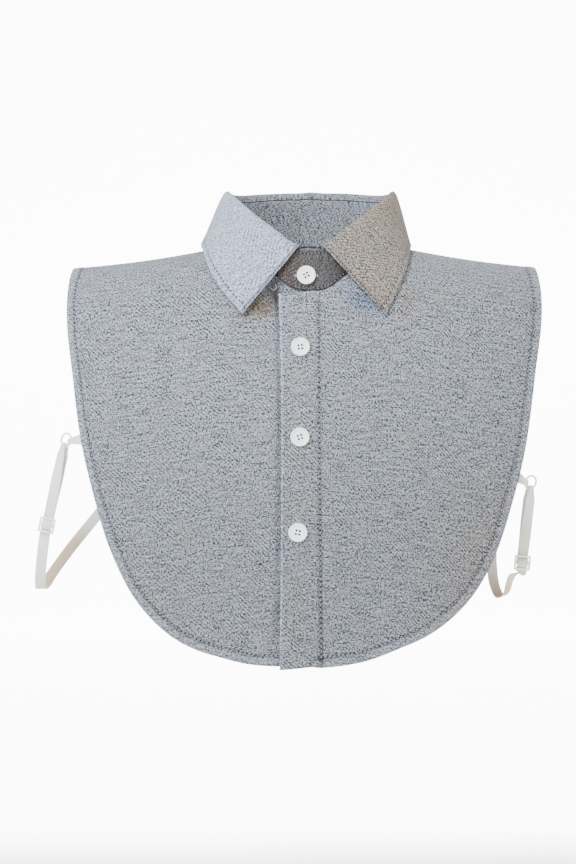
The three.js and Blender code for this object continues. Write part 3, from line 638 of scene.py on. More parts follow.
def leaf_edge(quarter, sign):
    """The leaf's lower edge: quarter 0 to 1 from the point to the shoulder, 1 to 2 round the back."""
    rows = LEFT_LEAF_EDGE if sign == LEFT else RIGHT_LEAF_EDGE
    reach = rows[-1][0] * LEAF_REACH
    offset = PANEL_WALL + LEAF_CLEARANCE + LEAF_WALL / 2
    result = np.empty(quarter.shape + (3,))
    front = quarter <= 1
    place = spline([(out * LEAF_REACH, down * LEAF_POINT_DROP) for out, down in rows], quarter[front])
    x = sign * place[:, 0]
    result[front] = cloth_point(x, np.maximum(place[:, 1], 0), FRONT, offset + lap_at(x))
    turn = (quarter[~front] - 1) * math.pi / 2
    run = LEAF_BACK_DROP * np.maximum(np.sin(turn), 0) ** 1.7
    result[~front] = cloth_point(sign * reach * np.cos(turn), run, BACK, offset + 0 * turn)
    return result


def bezier(p0, p1, p2, p3, t):
    """Points at shares t along a row of curves, one curve per station."""
    t = t[None, :, None]
    a, b, c, d = (p[:, None] for p in (p0, p1, p2, p3))
    return a * (1 - t) ** 3 + 3 * b * t * (1 - t) ** 2 + 3 * c * t ** 2 * (1 - t) + d * t ** 3


def leaf_curves(turn):
    """The two curves of the leaf's section at each turn: up from the stand, and over the fold."""
    sign = np.where(turn > math.pi, LEFT, RIGHT)
    folded = np.arccos(np.cos(turn))
    near = (folded - LEAF_START) / (math.pi / 2 - LEAF_START)
    quarter = np.where(folded <= math.pi / 2, np.maximum(near, 0), folded / (math.pi / 2))
    out = outward(turn)
    up = np.array([0.0, 0.0, 1.0])
    foot = stand_point(turn, stand_height(turn)) + up * 1.4 * GAP
    rise = (mix(FOLD_FRONT_RISE, FOLD_SIDE_RISE, shoulder_share(turn)) - LEAF_WALL / 2 + 2.4 * GAP)[:, None]
    tuck = np.where(sign == LEFT, tuck_at(seam_x(turn)), 0)
    top = foot + up * rise + out * (FOLD_RADIUS + tuck)[:, None]
    edge = np.empty_like(top)
    for one in (LEFT, RIGHT):
        edge[sign == one] = leaf_edge(quarter[sign == one], one)
    leg = (foot, foot + up * 0.7 * rise, top - out * 0.6 * FOLD_RADIUS, top)
    fall = (top, top + out * 1.6 * FOLD_RADIUS, mix(edge, top, 0.55) + out * LEAF_SWELL, edge)
    return leg, fall


def leaf_shares(turn, pitch):
    """Shares down the fall at even lengths at the leaf's longest section, close at its edge."""
    fine = np.linspace(0, 1, 400)
    fall = bezier(*leaf_curves(np.array([turn]))[1], fine)[0]
    along = lengths_along(fall)
    length = along[-1]
    near = LEAF_WALL * np.array([0, 0.1, 0.28, 0.55])
    middle = np.linspace(0, length - LEAF_WALL, round(length / pitch))
    wanted = np.concatenate([middle, (length - near)[::-1]])
    return np.interp(wanted, along, fine)


def leaf_grid(pitch):
    """The leaf's middle, with the distance to its rounded edges."""
    span = 2 * math.pi - 2 * LEAF_START
    turns = LEAF_START + span * edged_shares(NECK_RADIUS * span * 1.25, pitch, LEAF_WALL)
    leg, fall = leaf_curves(turns)
    shares = leaf_shares(0.75, pitch)
    middle = np.concatenate([bezier(*leg, np.linspace(0, 1, 8)[:-1]), bezier(*fall, shares)], axis=1)
    down = np.linalg.norm(np.diff(middle, axis=1), axis=-1)
    to_edge = np.concatenate([np.cumsum(down[:, ::-1], axis=1)[:, ::-1], np.zeros((len(turns), 1))], axis=1)
    fronts = np.linalg.norm(np.diff(middle, axis=0), axis=-1)
    from_first = np.concatenate([np.zeros((1, middle.shape[1])), np.cumsum(fronts, axis=0)], axis=0)
    to_front = np.minimum(from_first, from_first[-1] - from_first)
    return turns, middle, to_edge, to_front


def grid_normals(points):
    along, across = np.gradient(points, axis=0), np.gradient(points, axis=1)
    return unit(np.cross(along, across))


# Threads and their needle holes
def tube_faces(count, rings, sides):
    """Faces of many closed tubes of rings, each ring a loop of sides, with flat ends."""
    tube = grid_faces(rings, sides, closed=True)
    faces = (tube[None] + (np.arange(count) * rings * sides)[:, None, None]).reshape(-1, 4).tolist()
    first, last = np.arange(sides)[::-1], np.arange(sides) + (rings - 1) * sides
    for start in range(0, count * rings * sides, rings * sides):
        faces.append((first + start).tolist())
        faces.append((last + start).tolist())
    return [face[::-1] for face in faces]


def circles(across, up, sides):
    """A round of unit directions for each pair of directions across and up."""
    angle = np.arange(sides) * 2 * math.pi / sides
    return np.cos(angle)[:, None] * across[:, None] + np.sin(angle)[:, None] * up[:, None]


def thread_stitches(name, starts, ends, normals, radius, arch=0.22, sides=6):
    """Stitches as short tapered threads that rise a little between their two ends."""
    shares = np.array([0, 0.12, 0.35, 0.65, 0.88, 1.0])
    widths = np.array([0.5, 0.9, 1.0, 1.0, 0.9, 0.5]) * radius
    lifts = np.array([-0.8, 0.25, 1.0, 1.0, 0.25, -0.8]) * arch
    along = unit(ends - starts)
    up = unit(normals - along * np.einsum("ij,ij->i", normals, along)[:, None])
    across = np.cross(along, up)
    middle = starts[:, None] + (ends - starts)[:, None] * shares[None, :, None]
    middle = middle + up[:, None] * lifts[None, :, None]
    ring = circles(across, up, sides)
    points = middle[:, :, None] + ring[:, None] * widths[None, :, None, None]
    return mesh_object(name, points.reshape(-1, 3), tube_faces(len(starts), len(shares), sides))


def needle_holes(name, places, normals, radius):
    """Small dark rounds where a needle went in: painted shade standing in for the shadowed hole."""
    sides = 8
    helper = np.where(np.abs(normals[:, :1]) < 0.9, [[1.0, 0, 0]], [[0, 0, 1.0]])
    across = unit(np.cross(normals, helper))
    other = np.cross(normals, across)
    ring = circles(across, other, sides)
    rows = [(radius, -0.12), (radius, 0.02), (radius * 0.6, 0.07)]
    points = np.stack([places[:, None] + ring * size + normals[:, None] * rise
                       for size, rise in rows], axis=1)
    return mesh_object(name, points.reshape(-1, 3), tube_faces(len(places), len(rows), sides))


def spaced(points, values, pitch):
    """The values, one row per point of a line, at an even pitch along it."""
    along = lengths_along(points)
    count = max(2, round(along[-1] / pitch))
    wanted = np.linspace(0, along[-1], count + 1)
    return np.stack([np.interp(wanted, along, values[:, k]) for k in range(3)], axis=-1)


def stitch_row(name, points, normals, pitch, radius=0.24, share=0.66, hole=0.78):
    """A row of lockstitches along a line on the cloth, with the needle holes between them."""
    places, ups = spaced(points, points, pitch), unit(spaced(points, normals, pitch))
    starts, ends = places[:-1], places[1:]
    middle_ups = unit(ups[:-1] + ups[1:])
    shift = (ends - starts) * (1 - share) / 2
    thread = thread_stitches(name, starts + shift, ends - shift, middle_ups, radius)
    holes = needle_holes(name + "_holes", places, ups, hole)
    return thread, holes


def join(objects, name):
    bpy.ops.object.select_all(action="DESELECT")
    for obj in objects:
        obj.select_set(True)
    bpy.context.view_layer.objects.active = objects[0]
    bpy.ops.object.join()
    objects[0].name = name
    objects[0].data.name = name
    return objects[0]


# Buttons
def button_x(across, down):
    return float(placket_free_edge(down)) + PLACKET_WIDTH / 2 + across * BUTTON_DIAMETER


def seat_matrix(origin, across, normal):
    z = normal / np.linalg.norm(normal)
    y = np.cross(z, across)
    y = y / np.linalg.norm(y)
    return Matrix([[a, b, c, d * MM] for a, b, c, d in zip(np.cross(y, z), y, z, origin)] + [[0, 0, 0, 1]])


def placket_seat(across, down, lift=0.0):
    x = np.array([button_x(across, down)])
    run = run_at_height(x, -down * BIB_DROP, FRONT)
    origin = cloth_point(x, run, FRONT, lap_at(x) + PANEL_WALL + lift)[0]
    return seat_matrix(origin, np.array([1.0, 0, 0]), rest_normal(x, run, FRONT)[0])


def stand_seat():
    turn = np.array([seam_turn(STAND_BUTTON_X)])
    low, high = stand_point(turn, [STAND_BUTTON_RISE - 1])[0], stand_point(turn, [STAND_BUTTON_RISE + 1])[0]
    across = np.array([math.cos(turn[0]), math.sin(turn[0]), 0])
    normal = np.cross(across, high - low)
    normal = normal / np.linalg.norm(normal)
    return seat_matrix((low + high) / 2 + normal * STAND_WALL / 2, across, normal)


# Straps: stops as in the part's source, each a middle, a width direction and a width
def panel_reach(rows, drop, z):
    fine = spline(rows, np.linspace(0, 1, 501))
    return fine[np.argmax(fine[:, 1] * drop >= -z), 0] * SHOULDER_HALF_WIDTH


def edge_point(side_sign, rows, drop, z, face, inward=0.0, lower=0.0, depth=0.0):
    x = np.array([side_sign * (panel_reach(rows, drop, z) - inward)])
    return cloth_point(x, run_at_height(x, z - lower, face), face, -depth)[0]


def ring_clearances():
    """How far a gathered band's middle keeps from the ring's plane, and from its centre inside it."""
    wire = RING_WIRE / 2 + STRAP_WALL / 2 + 1.5 * GAP
    inner = (RING_RADIUS - RING_WIRE / 2) ** 2 - (STRAP_GATHERED / 2) ** 2
    return wire, math.sqrt(inner) - STRAP_WALL / 2 - 1.5 * GAP


class Route:
    """One strap's hardware and the places that it runs through."""

    def __init__(self, row):
        self.side, self.turn, self.tab_seat = row["side"], row["ring_turn"], row["tab_seat"]
        self.front_rows = LEFT_OUTLINE if self.side == LEFT else RIGHT_OUTLINE
        self.back_rows = back_rows(self.side)
        self.tab_height, self.back_height = -row["tab_down"] * BIB_DROP, -row["back_down"] * BACK_DROP
        front = edge_point(self.side, self.front_rows, BIB_DROP, self.tab_height, FRONT)
        back = edge_point(self.side, self.back_rows, BACK_DROP, self.back_height, BACK)
        self.ring_at, self.slider_at = front + row["ring"], front + row["slider"]
        last = len(row["fall"]) - 1
        self.fall = [
            (mix(front, back, k / last) + at, np.array(width, float), STRAP_WIDTH)
            for k, (at, width) in enumerate(row["fall"])
        ]
        up = unit(self.ring_at - self.slider_at)
        across = np.array([1.0, 0, 0])
        across = unit(across - up * across.dot(up))
        turned = across * math.cos(self.turn) + np.cross(up, across) * math.sin(self.turn)
        self.slider_frame = (self.slider_at, across, up, np.cross(across, up))
        self.ring_frame = (self.ring_at, turned, up, np.cross(turned, up))

    def stop(self, frame, rise, out, width=STRAP_WIDTH):
        origin, across, up, forward = frame
        return origin + up * rise + forward * out, across, width

    def strap_stops(self):
        slider, ring = self.slider_frame, self.ring_frame
        inside = SLIDER_WALL / 2 + STRAP_WALL / 2 + GAP
        wrap = inside + STRAP_WALL + 1.4 * GAP
        behind = SLIDER_WALL / 2 + STRAP_WALL / 2 + 1.7 * GAP
        outside = behind + STRAP_WALL + GAP
        lip = SLIDER_BAR + SLIDER_OPENING
        wire, through = ring_clearances()
        widths = ((-9, STRAP_WIDTH), (-2.5, mix(STRAP_GATHERED, STRAP_WIDTH, 0.4)), (0.6, STRAP_GATHERED))
        before = [(rise - RING_RADIUS, wire, width) for rise, width in widths]
        after = [(rise, -wire, width) for rise, _, width in reversed(before)]
        rings = [*before, (-through, 0, STRAP_GATHERED), *after]
        first = [
            (1.2, inside), (0, inside), (-0.83 * inside, 0.83 * inside), (-inside, 0),
            (-0.83 * inside, -0.83 * inside), (1.4, -outside), (lip, -outside), (lip + 14, -wire - 1),
        ]
        second = [
            (lip + 14, wire - 0.6), (lip, -behind), (wrap, -behind * 0.8), (wrap, 0.3),
            (0.7 * wrap, 0.7 * wrap), (0, wrap), (-0.7 * wrap, 0.7 * wrap), (-wrap, 0.3),
            (-wrap, -behind * 0.8), (-lip, -behind), (-lip - 3.5, -behind - 0.8),
        ]
        depth = STRAP_WALL / 2 + SEWN_CLEARANCE
        sewn = [
            (edge_point(self.side, self.back_rows, BACK_DROP, self.back_height, BACK, inward,
                        -inward, depth), self.fall[-1][1], STRAP_WIDTH)
            for inward in (0, STRAP_SEWN_LENGTH)
        ]
        stops = [self.stop(slider, *place) for place in first]
        stops += [self.stop(ring, *place) for place in reversed(rings)]
        stops += [self.stop(slider, *place) for place in second]
        return stops + self.fall + sewn

    def tab_stops(self):
        origin, across, up, forward = self.ring_frame
        to_panel = -self.side * across
        wire, through = ring_clearances()

        def near(along, out):
            return origin + to_panel * along + forward * out, up, STRAP_GATHERED

        def sewn(share, layer):
            depth = STRAP_WALL / 2 + self.tab_seat + layer * (STRAP_WALL + GAP)
            place = edge_point(self.side, self.front_rows, BIB_DROP, self.tab_height, FRONT,
                               STRAP_SEWN_LENGTH * share, 0, depth)
            return place, up, STRAP_WIDTH

        edge = RING_RADIUS - 0.4
        return [sewn(1, 0), sewn(0, 0), near(edge, wire), near(through, 0), near(edge, -wire),
                sewn(0, 1), sewn(1, 1)]


def centripetal(points, place):
    """A point at a place, counted in stops, on a smooth curve that keeps close to its stops."""
    last = len(points) - 1
    k = min(int(place), last - 1)
    t = place - k
    p1, p2 = points[k], points[k + 1]
    p0 = points[k - 1] if k > 0 else 2 * points[0] - points[1]
    p3 = points[k + 2] if k + 2 <= last else 2 * points[last] - points[last - 1]
    d0, d1, d2 = (max(np.linalg.norm(b - a) ** 0.5, 1e-4) for a, b in ((p0, p1), (p1, p2), (p2, p3)))
    t1 = ((p1 - p0) / d0 - (p2 - p0) / (d0 + d1) + (p2 - p1) / d1) * d1
    t2 = ((p2 - p1) / d1 - (p3 - p1) / (d1 + d2) + (p3 - p2) / d2) * d1
    return (p1 + t1 * t + (-3 * p1 + 3 * p2 - 2 * t1 - t2) * t ** 2
            + (2 * p1 - 2 * p2 + t1 + t2) * t ** 3)


def tangent_at(points, place):
    before = centripetal(points, max(place - 0.01, 0))
    after = centripetal(points, min(place + 0.01, len(points) - 1))
    return unit(after - before)


def ribbon_profile(width, wall, count=11):
    """A flat band's section with rounded edges: places across it and through it."""
    across = np.linspace(-1, 1, count) * (width / 2 - wall / 2)
    turn = np.array([-60, 0, 60]) * math.pi / 180
    right = np.stack([width / 2 - wall / 2 + np.cos(turn) * wall / 2, np.sin(turn) * wall / 2], axis=-1)
    top = np.stack([across[::-1], np.full(count, wall / 2)], axis=-1)
    bottom = np.stack([across, np.full(count, -wall / 2)], axis=-1)
    return np.concatenate([bottom, right, top, right[::-1] * [-1, 1]])


def ribbon_object(name, stops, wall, step):
    """An elastic band through its stops, drawn together where it is narrow."""
    points = [np.asarray(at, float) for at, across, width in stops]
    coarse = np.linspace(0, len(points) - 1, 12 * len(points))
    along = lengths_along(np.array([centripetal(points, place) for place in coarse]))
    wanted = np.linspace(0, along[-1], max(8, round(along[-1] / step)))
    places = np.interp(wanted, along, coarse)
    rings = []
    for place in places:
        k = min(int(place), len(points) - 2)
        part = float(smooth(place - k))
        tangent = tangent_at(points, place)
        side = mix(unit(np.asarray(stops[k][1], float)), unit(np.asarray(stops[k + 1][1], float)), part)
        side = unit(side - tangent * side.dot(tangent))
        width = mix(stops[k][2], stops[k + 1][2], part)
        out = np.cross(tangent, side)
        profile = ribbon_profile(width, wall)
        gathered = 0.22 * (STRAP_WIDTH - width) / (STRAP_WIDTH - STRAP_GATHERED)
        fold = gathered * np.cos(profile[:, 0] / width * 2 * math.pi * 2.5)
        rise = profile[:, 1:] + fold[:, None]
        rings.append(centripetal(points, place) + side * profile[:, :1] + out * rise)
    rings = np.array(rings)
    sides = rings.shape[1]
    faces = grid_faces(len(rings), sides, closed=True).tolist()
    faces += [list(range(sides))[::-1], [k + (len(rings) - 1) * sides for k in range(sides)]]
    across = ribbon_profile(STRAP_WIDTH, wall)[:, 0]
    uv = np.stack(np.broadcast_arrays(across[None], wanted[:, None]), axis=-1).reshape(-1, 2)
    obj = mesh_object(name, rings.reshape(-1, 3), faces, uv)
    make_outward(obj)
    return obj


def select_only(obj):
    bpy.ops.object.select_all(action="DESELECT")
    obj.select_set(True)
    bpy.context.view_layer.objects.active = obj


def make_outward(obj):
    """Turn an object's faces outward."""
    select_only(obj)
    bpy.ops.object.mode_set(mode="EDIT")
    bpy.ops.mesh.select_all(action="SELECT")
    bpy.ops.mesh.normals_make_consistent(inside=False)
    bpy.ops.object.mode_set(mode="OBJECT")


# Hard pieces, shaped in edit mode
def select_faces(obj, wanted):
    """Select in edit mode only the faces that a test of their centre and normal accepts."""
    bpy.ops.object.mode_set(mode="OBJECT")
    mesh = obj.data
    chosen = [bool(wanted(face.center / MM, face.normal)) for face in mesh.polygons]
    mesh.vertices.foreach_set("select", [False] * len(mesh.vertices))
    mesh.edges.foreach_set("select", [False] * len(mesh.edges))
    mesh.polygons.foreach_set("select", chosen)
    bpy.ops.object.mode_set(mode="EDIT")
    bpy.ops.mesh.select_mode(type="FACE")


def apply_modifier(obj, kind, **settings):
    bpy.context.view_layer.objects.active = obj
    modifier = obj.modifiers.new(kind.lower(), kind)
    for name, value in settings.items():
        setattr(modifier, name, value)
    bpy.ops.object.modifier_apply(modifier=modifier.name)


def cut_away(obj, cutter):
    """Take the cutter's form out of an object, and the cutter out of the scene."""
    apply_modifier(obj, "BOOLEAN", object=cutter, operation="DIFFERENCE", solver="EXACT")
    bpy.data.objects.remove(cutter)


def block_at(seat, width, height, depth):
    """A plain block for cutting, in a seat's frame."""
    bpy.ops.object.select_all(action="DESELECT")
    bpy.ops.mesh.primitive_cube_add(size=1)
    block = bpy.context.object
    block.data.transform(Matrix.Diagonal((width * MM, height * MM, depth * MM, 1)))
    block.data.transform(seat)
    return block


def button_object(name, seat, turn, radius, thickness, hole, spread):
    """A four-hole shirt button: a raised round rim, a dished middle and a tapered underside."""
    bpy.ops.object.select_all(action="DESELECT")
    bpy.ops.mesh.primitive_cylinder_add(vertices=64, radius=radius * MM, depth=thickness * MM)
    button = bpy.context.object
    button.name = name
    steps = [(0.55, 0.0), (0.55, -0.12), (0.3, -0.46), (0.5, -0.2), (1.0, -0.05)]
    select_faces(button, lambda centre, normal: normal.z > 0.9)
    for inset, drop in steps:
        bpy.ops.mesh.inset(thickness=inset * MM, depth=0)
        bpy.ops.transform.translate(value=(0, 0, drop * MM))
    select_faces(button, lambda centre, normal: normal.z < -0.9)
    bpy.ops.mesh.inset(thickness=1.1 * MM, depth=0)
    bpy.ops.object.mode_set(mode="OBJECT")
    for vertex in button.data.vertices:
        if vertex.co.z < 0 and math.hypot(vertex.co.x, vertex.co.y) > (radius - 0.2) * MM:
            vertex.co.z += 0.9 * MM
    apply_modifier(button, "BEVEL", width=0.28 * MM, segments=3, limit_method="ANGLE",
                   angle_limit=math.radians(28))
    bpy.ops.object.select_all(action="DESELECT")
    cutters = []
    for k in range(4):
        angle = turn + math.pi / 4 + k * math.pi / 2
        place = (spread * math.cos(angle) * MM, spread * math.sin(angle) * MM, 0)
        bpy.ops.mesh.primitive_cylinder_add(vertices=24, radius=hole / 2 * MM, depth=0.02, location=place)
        cutters.append(bpy.context.object)
    cutter = join(cutters, name + "_cutter")
    bpy.ops.object.transform_apply(location=True)
    cut_away(button, cutter)
    select_only(button)
    bpy.ops.object.shade_smooth_by_angle(angle=math.radians(40))
    button.data.transform(seat @ Matrix.Translation((0, 0, (GAP + thickness / 2) * MM)))
    return button


def button_threads(name, seat, turn, spread):
    """Sewing thread that rises from the cloth into the button's four holes."""
    angles = turn + math.pi / 4 + np.arange(4) * math.pi / 2
    starts = np.stack([spread * np.cos(angles), spread * np.sin(angles), np.zeros(4)], axis=-1)
    lean = np.stack([np.sin(angles), -np.cos(angles), np.zeros(4)], axis=-1)
    strands = [(-0.3, 0.2), (0.3, 0.1), (0.0, -0.3)]
    starts = np.concatenate([starts + lean * side + [0, 0, drop] for side, drop in strands])
    ends = starts + [0, 0, GAP + 0.72 * BUTTON_THICKNESS]
    obj = thread_stitches(name, starts, ends, np.tile([1.0, 0, 0], (len(starts), 1)), 0.5, 0.05)
    obj.data.transform(seat)
    return obj


def ring_object(name, route):
    origin, across, _, forward = route.ring_frame
    bpy.ops.object.select_all(action="DESELECT")
    bpy.ops.mesh.primitive_torus_add(major_segments=72, minor_segments=20,
                                     major_radius=RING_RADIUS * MM, minor_radius=RING_WIRE / 2 * MM)
    ring = bpy.context.object
    ring.name = name
    bpy.ops.object.shade_smooth()
    ring.data.transform(seat_matrix(origin, across, forward))
    return ring


def slider_object(name, route):
    """A slide adjuster: a rounded plate with two slots and a middle bar."""
    origin, across, _, forward = route.slider_frame
    inner = STRAP_WIDTH + 2 * SLIDER_SIDE_PLAY
    outer, height = inner + 2 * SLIDER_BAR, 3 * SLIDER_BAR + 2 * SLIDER_OPENING
    bpy.ops.object.select_all(action="DESELECT")
    bpy.ops.mesh.primitive_cube_add(size=1)
    plate = bpy.context.object
    plate.name = name
    bpy.ops.object.mode_set(mode="EDIT")
    bpy.ops.mesh.select_all(action="SELECT")
    bpy.ops.transform.resize(value=(outer * MM, height * MM, SLIDER_WALL * MM))
    bpy.ops.object.mode_set(mode="OBJECT")
    cutters = []
    for sign in (-1, 1):
        middle = sign * (SLIDER_BAR + SLIDER_OPENING) / 2
        bpy.ops.mesh.primitive_cube_add(size=1, location=(0, middle * MM, 0),
                                        scale=(inner * MM, SLIDER_OPENING * MM, 0.01))
        cutters.append(bpy.context.object)
    cutter = join(cutters, name + "_cutter")
    bpy.ops.object.transform_apply(location=True, rotation=True, scale=True)
    cut_away(plate, cutter)
    apply_modifier(plate, "BEVEL", width=0.42 * MM, segments=4, limit_method="ANGLE",
                   angle_limit=math.radians(30))
    select_only(plate)
    bpy.ops.object.shade_smooth_by_angle(angle=math.radians(35))
    plate.data.transform(seat_matrix(origin, across, forward))
    return plate


# Shader maths: numbers and sockets combined with ordinary operators
class Value:
    def __init__(self, shader, socket):
        self.shader, self.socket = shader, socket

    def made(self, operation, *operands):
        node = self.shader.tree.nodes.new("ShaderNodeMath")
        node.operation = operation
        for slot, operand in zip(node.inputs, operands):
            self.shader.feed(slot, operand)
        return Value(self.shader, node.outputs[0])

    def __add__(self, other):
        return self.made("ADD", self, other)

    def __radd__(self, other):
        return self.made("ADD", other, self)

    def __sub__(self, other):
        return self.made("SUBTRACT", self, other)

    def __rsub__(self, other):
        return self.made("SUBTRACT", other, self)

    def __mul__(self, other):
        return self.made("MULTIPLY", self, other)

    def __rmul__(self, other):
        return self.made("MULTIPLY", other, self)

    def __truediv__(self, other):
        return self.made("DIVIDE", self, other)

    def __rtruediv__(self, other):
        return self.made("DIVIDE", other, self)

    def __pow__(self, other):
        return self.made("POWER", self, other)

    def __abs__(self):
        return self.made("ABSOLUTE", self)

    def sine(self):
        return self.made("SINE", self)


class Shader:
    """A node material, built in code."""

    def __init__(self, name):
        self.material = bpy.data.materials.new(name)
        self.material.use_nodes = True
        self.tree = self.material.node_tree
        self.tree.nodes.clear()
        self.surface = self.tree.nodes.new("ShaderNodeBsdfPrincipled")
        output = self.tree.nodes.new("ShaderNodeOutputMaterial")
        self.tree.links.new(self.surface.outputs["BSDF"], output.inputs["Surface"])

    def feed(self, slot, value):
        if isinstance(value, Value):
            self.tree.links.new(value.socket, slot)
        elif isinstance(value, bpy.types.NodeSocket):
            self.tree.links.new(value, slot)
        else:
            slot.default_value = value

    def node(self, kind, settings=None, inputs=None, output=0):
        """Add a node; inputs go by name or place. Returns one of its outputs."""
        made = self.tree.nodes.new(kind)
        for name, value in (settings or {}).items():
            setattr(made, name, value)
        for name, value in (inputs or {}).items():
            self.feed(made.inputs[name], value)
        return Value(self, made.outputs[output])

    def set(self, **inputs):
        for name, value in inputs.items():
            self.feed(self.surface.inputs[name.replace("_", " ")], value)

    def noise(self, vector, scale, detail=2.0, roughness=0.5):
        return self.node("ShaderNodeTexNoise", None, {
            "Vector": vector, "Scale": scale, "Detail": detail, "Roughness": roughness,
        })

    def scaled(self, vector, scale):
        return self.node("ShaderNodeVectorMath", {"operation": "MULTIPLY"}, {0: vector, 1: scale})

    def step(self, value, low, high, to_low=0.0, to_high=1.0):
        return self.node("ShaderNodeMapRange", {"interpolation_type": "SMOOTHSTEP"}, {
            "Value": value, "From Min": low, "From Max": high, "To Min": to_low, "To Max": to_high,
        })

    def blend(self, factor, first, second, blend_type="MIX"):
        made = self.tree.nodes.new("ShaderNodeMix")
        made.data_type, made.blend_type = "RGBA", blend_type
        self.feed(made.inputs[0], factor)
        self.feed(made.inputs[6], first)
        self.feed(made.inputs[7], second)
        return made.outputs[2]

    def bump(self, height, distance, strength=1.0):
        return self.node("ShaderNodeBump", None, {
            "Height": height, "Distance": distance, "Strength": strength,
        })

    def field(self, name):
        return self.node("ShaderNodeAttribute", {"attribute_name": name}, output=2)

    def uv(self):
        return self.node("ShaderNodeUVMap", {"uv_map": "cloth"})

    def object_place(self):
        return self.node("ShaderNodeTexCoord", output=3)

    def parts(self, vector):
        made = self.tree.nodes.new("ShaderNodeSeparateXYZ")
        self.feed(made.inputs[0], vector)
        return [Value(self, out) for out in made.outputs]


def colour(red, green, blue):
    return (red, green, blue, 1.0)


def cloth_material():
    """Melange oxford cloth: pale and slate threads crossing, with faint diagonal ribs and mottling, and
    painted light and shade from the warm, cool, light and dark fields.
    """
    m = Shader("woven_melange_cloth")
    uv = m.uv()
    u, v = m.parts(uv)[:2]
    weft = m.noise(m.scaled(uv, (540, 1200, 1)), 1, 2, 0.6)
    warp = m.noise(m.scaled(uv, (1200, 540, 1)), 1, 2, 0.6)
    speck = m.noise(uv, 1200, 1, 0.5)
    slub = m.noise(m.scaled(uv, (70, 600, 1)), 1, 1, 0.5)
    grain = weft * 0.4 + warp * 0.35 + speck * 0.25
    patches = m.noise(uv, 34, 2, 0.5)
    ribs = ((u + v) * 2100).sine() * m.step(patches, 0.46, 0.62)
    tone = m.step(grain + ribs * 0.030 + (slub - 0.5) * 0.12, 0.43, 0.575)
    base = m.blend(tone, colour(0.013, 0.017, 0.028), colour(0.325, 0.348, 0.382))
    drift = m.noise(uv, 60, 3, 0.6)
    base = m.blend(m.step(drift, 0.48, 0.75, 0, 0.28), base, colour(0.20, 0.145, 0.13))
    other = m.noise(m.scaled(uv, (-1, 1.3, 1)), 75, 3, 0.6)
    base = m.blend(m.step(other, 0.5, 0.8, 0, 0.25), base, colour(0.11, 0.155, 0.165))
    # Painted light and shade from per-point fields: warm paints brownish shade, cool paints bluish shade,
    # light paints a pale bluish highlight
    for field, deep, pale in (("warm", (0.045, 0.033, 0.023), (0.33, 0.265, 0.195)),
                              ("cool", (0.020, 0.032, 0.070), (0.230, 0.300, 0.450)),
                              ("light", (0.10, 0.125, 0.19), (0.53, 0.59, 0.70))):
        base = m.blend(m.field(field), base, m.blend(tone, colour(*deep), colour(*pale)))
    # The dark field paints shadow and shade, near black
    base = m.blend(m.field("dark"), base, colour(0.016, 0.012, 0.011))
    threads = (u * 9000).sine() * (v * 9000).sine()
    height = grain * 1.2 + threads * 0.2 + ribs * 0.06
    rough = m.step(grain, 0.2, 0.8, 0.92, 0.80)
    m.set(Base_Color=base, Roughness=rough, Normal=m.bump(height, 0.0003, 0.6))
    m.set(Sheen_Weight=0.12, Sheen_Roughness=0.5, Specular_IOR_Level=0.2)
    return m.material


def thread_material():
    m = Shader("pale_sewing_thread")
    place = m.object_place()
    twist = m.noise(place, 2600, 2, 0.5)
    along = m.noise(place, 160, 2, 0.5)
    base = m.blend(m.step(twist, 0.3, 0.7), colour(0.16, 0.17, 0.19), colour(0.36, 0.37, 0.39))
    base = m.blend(m.step(along, 0.4, 0.7, 0, 0.35), base, colour(0.24, 0.22, 0.20))
    m.set(Base_Color=base, Roughness=m.step(twist, 0.2, 0.8, 0.6, 0.8), Normal=m.bump(twist, 0.00008, 0.6))
    return m.material


def hole_material():
    m = Shader("dark_needle_hole")
    speck = m.noise(m.object_place(), 1500, 2, 0.5)
    # Near black: painted shade of the needle holes, and of the button's holes where the thread goes in
    m.set(Base_Color=m.blend(speck, colour(0.008, 0.008, 0.010), colour(0.030, 0.028, 0.030)), Roughness=0.95)
    return m.material


def button_material():
    """Glossy white plastic with a faint pearly cloud."""
    m = Shader("pearly_button_plastic")
    place = m.object_place()
    cloud = m.noise(place, 260, 3, 0.5)
    fine = m.noise(place, 2400, 2, 0.5)
    base = m.blend(m.step(cloud, 0.35, 0.7), colour(0.86, 0.87, 0.89), colour(0.93, 0.93, 0.93))
    m.set(Base_Color=base, Roughness=m.step(fine, 0.3, 0.7, 0.24, 0.34), Normal=m.bump(cloud, 0.00006, 0.4))
    m.set(Coat_Weight=0.35, Coat_Roughness=0.15, Subsurface_Weight=0.08, Subsurface_Scale=0.002)
    return m.material


def hardware_material():
    """Moulded cream-white plastic, slightly scuffed."""
    m = Shader("moulded_hardware_plastic")
    place = m.object_place()
    cloud = m.noise(place, 200, 3, 0.5)
    scuff = m.noise(place, 1800, 4, 0.7)
    base = m.blend(m.step(cloud, 0.35, 0.7), colour(0.94, 0.925, 0.895), colour(0.98, 0.97, 0.955))
    m.set(Base_Color=base, Roughness=m.step(scuff, 0.3, 0.7, 0.28, 0.46), Normal=m.bump(scuff, 0.00004, 0.4))
    m.set(Coat_Weight=0.15, Subsurface_Weight=0.08, Subsurface_Scale=0.002)
    return m.material


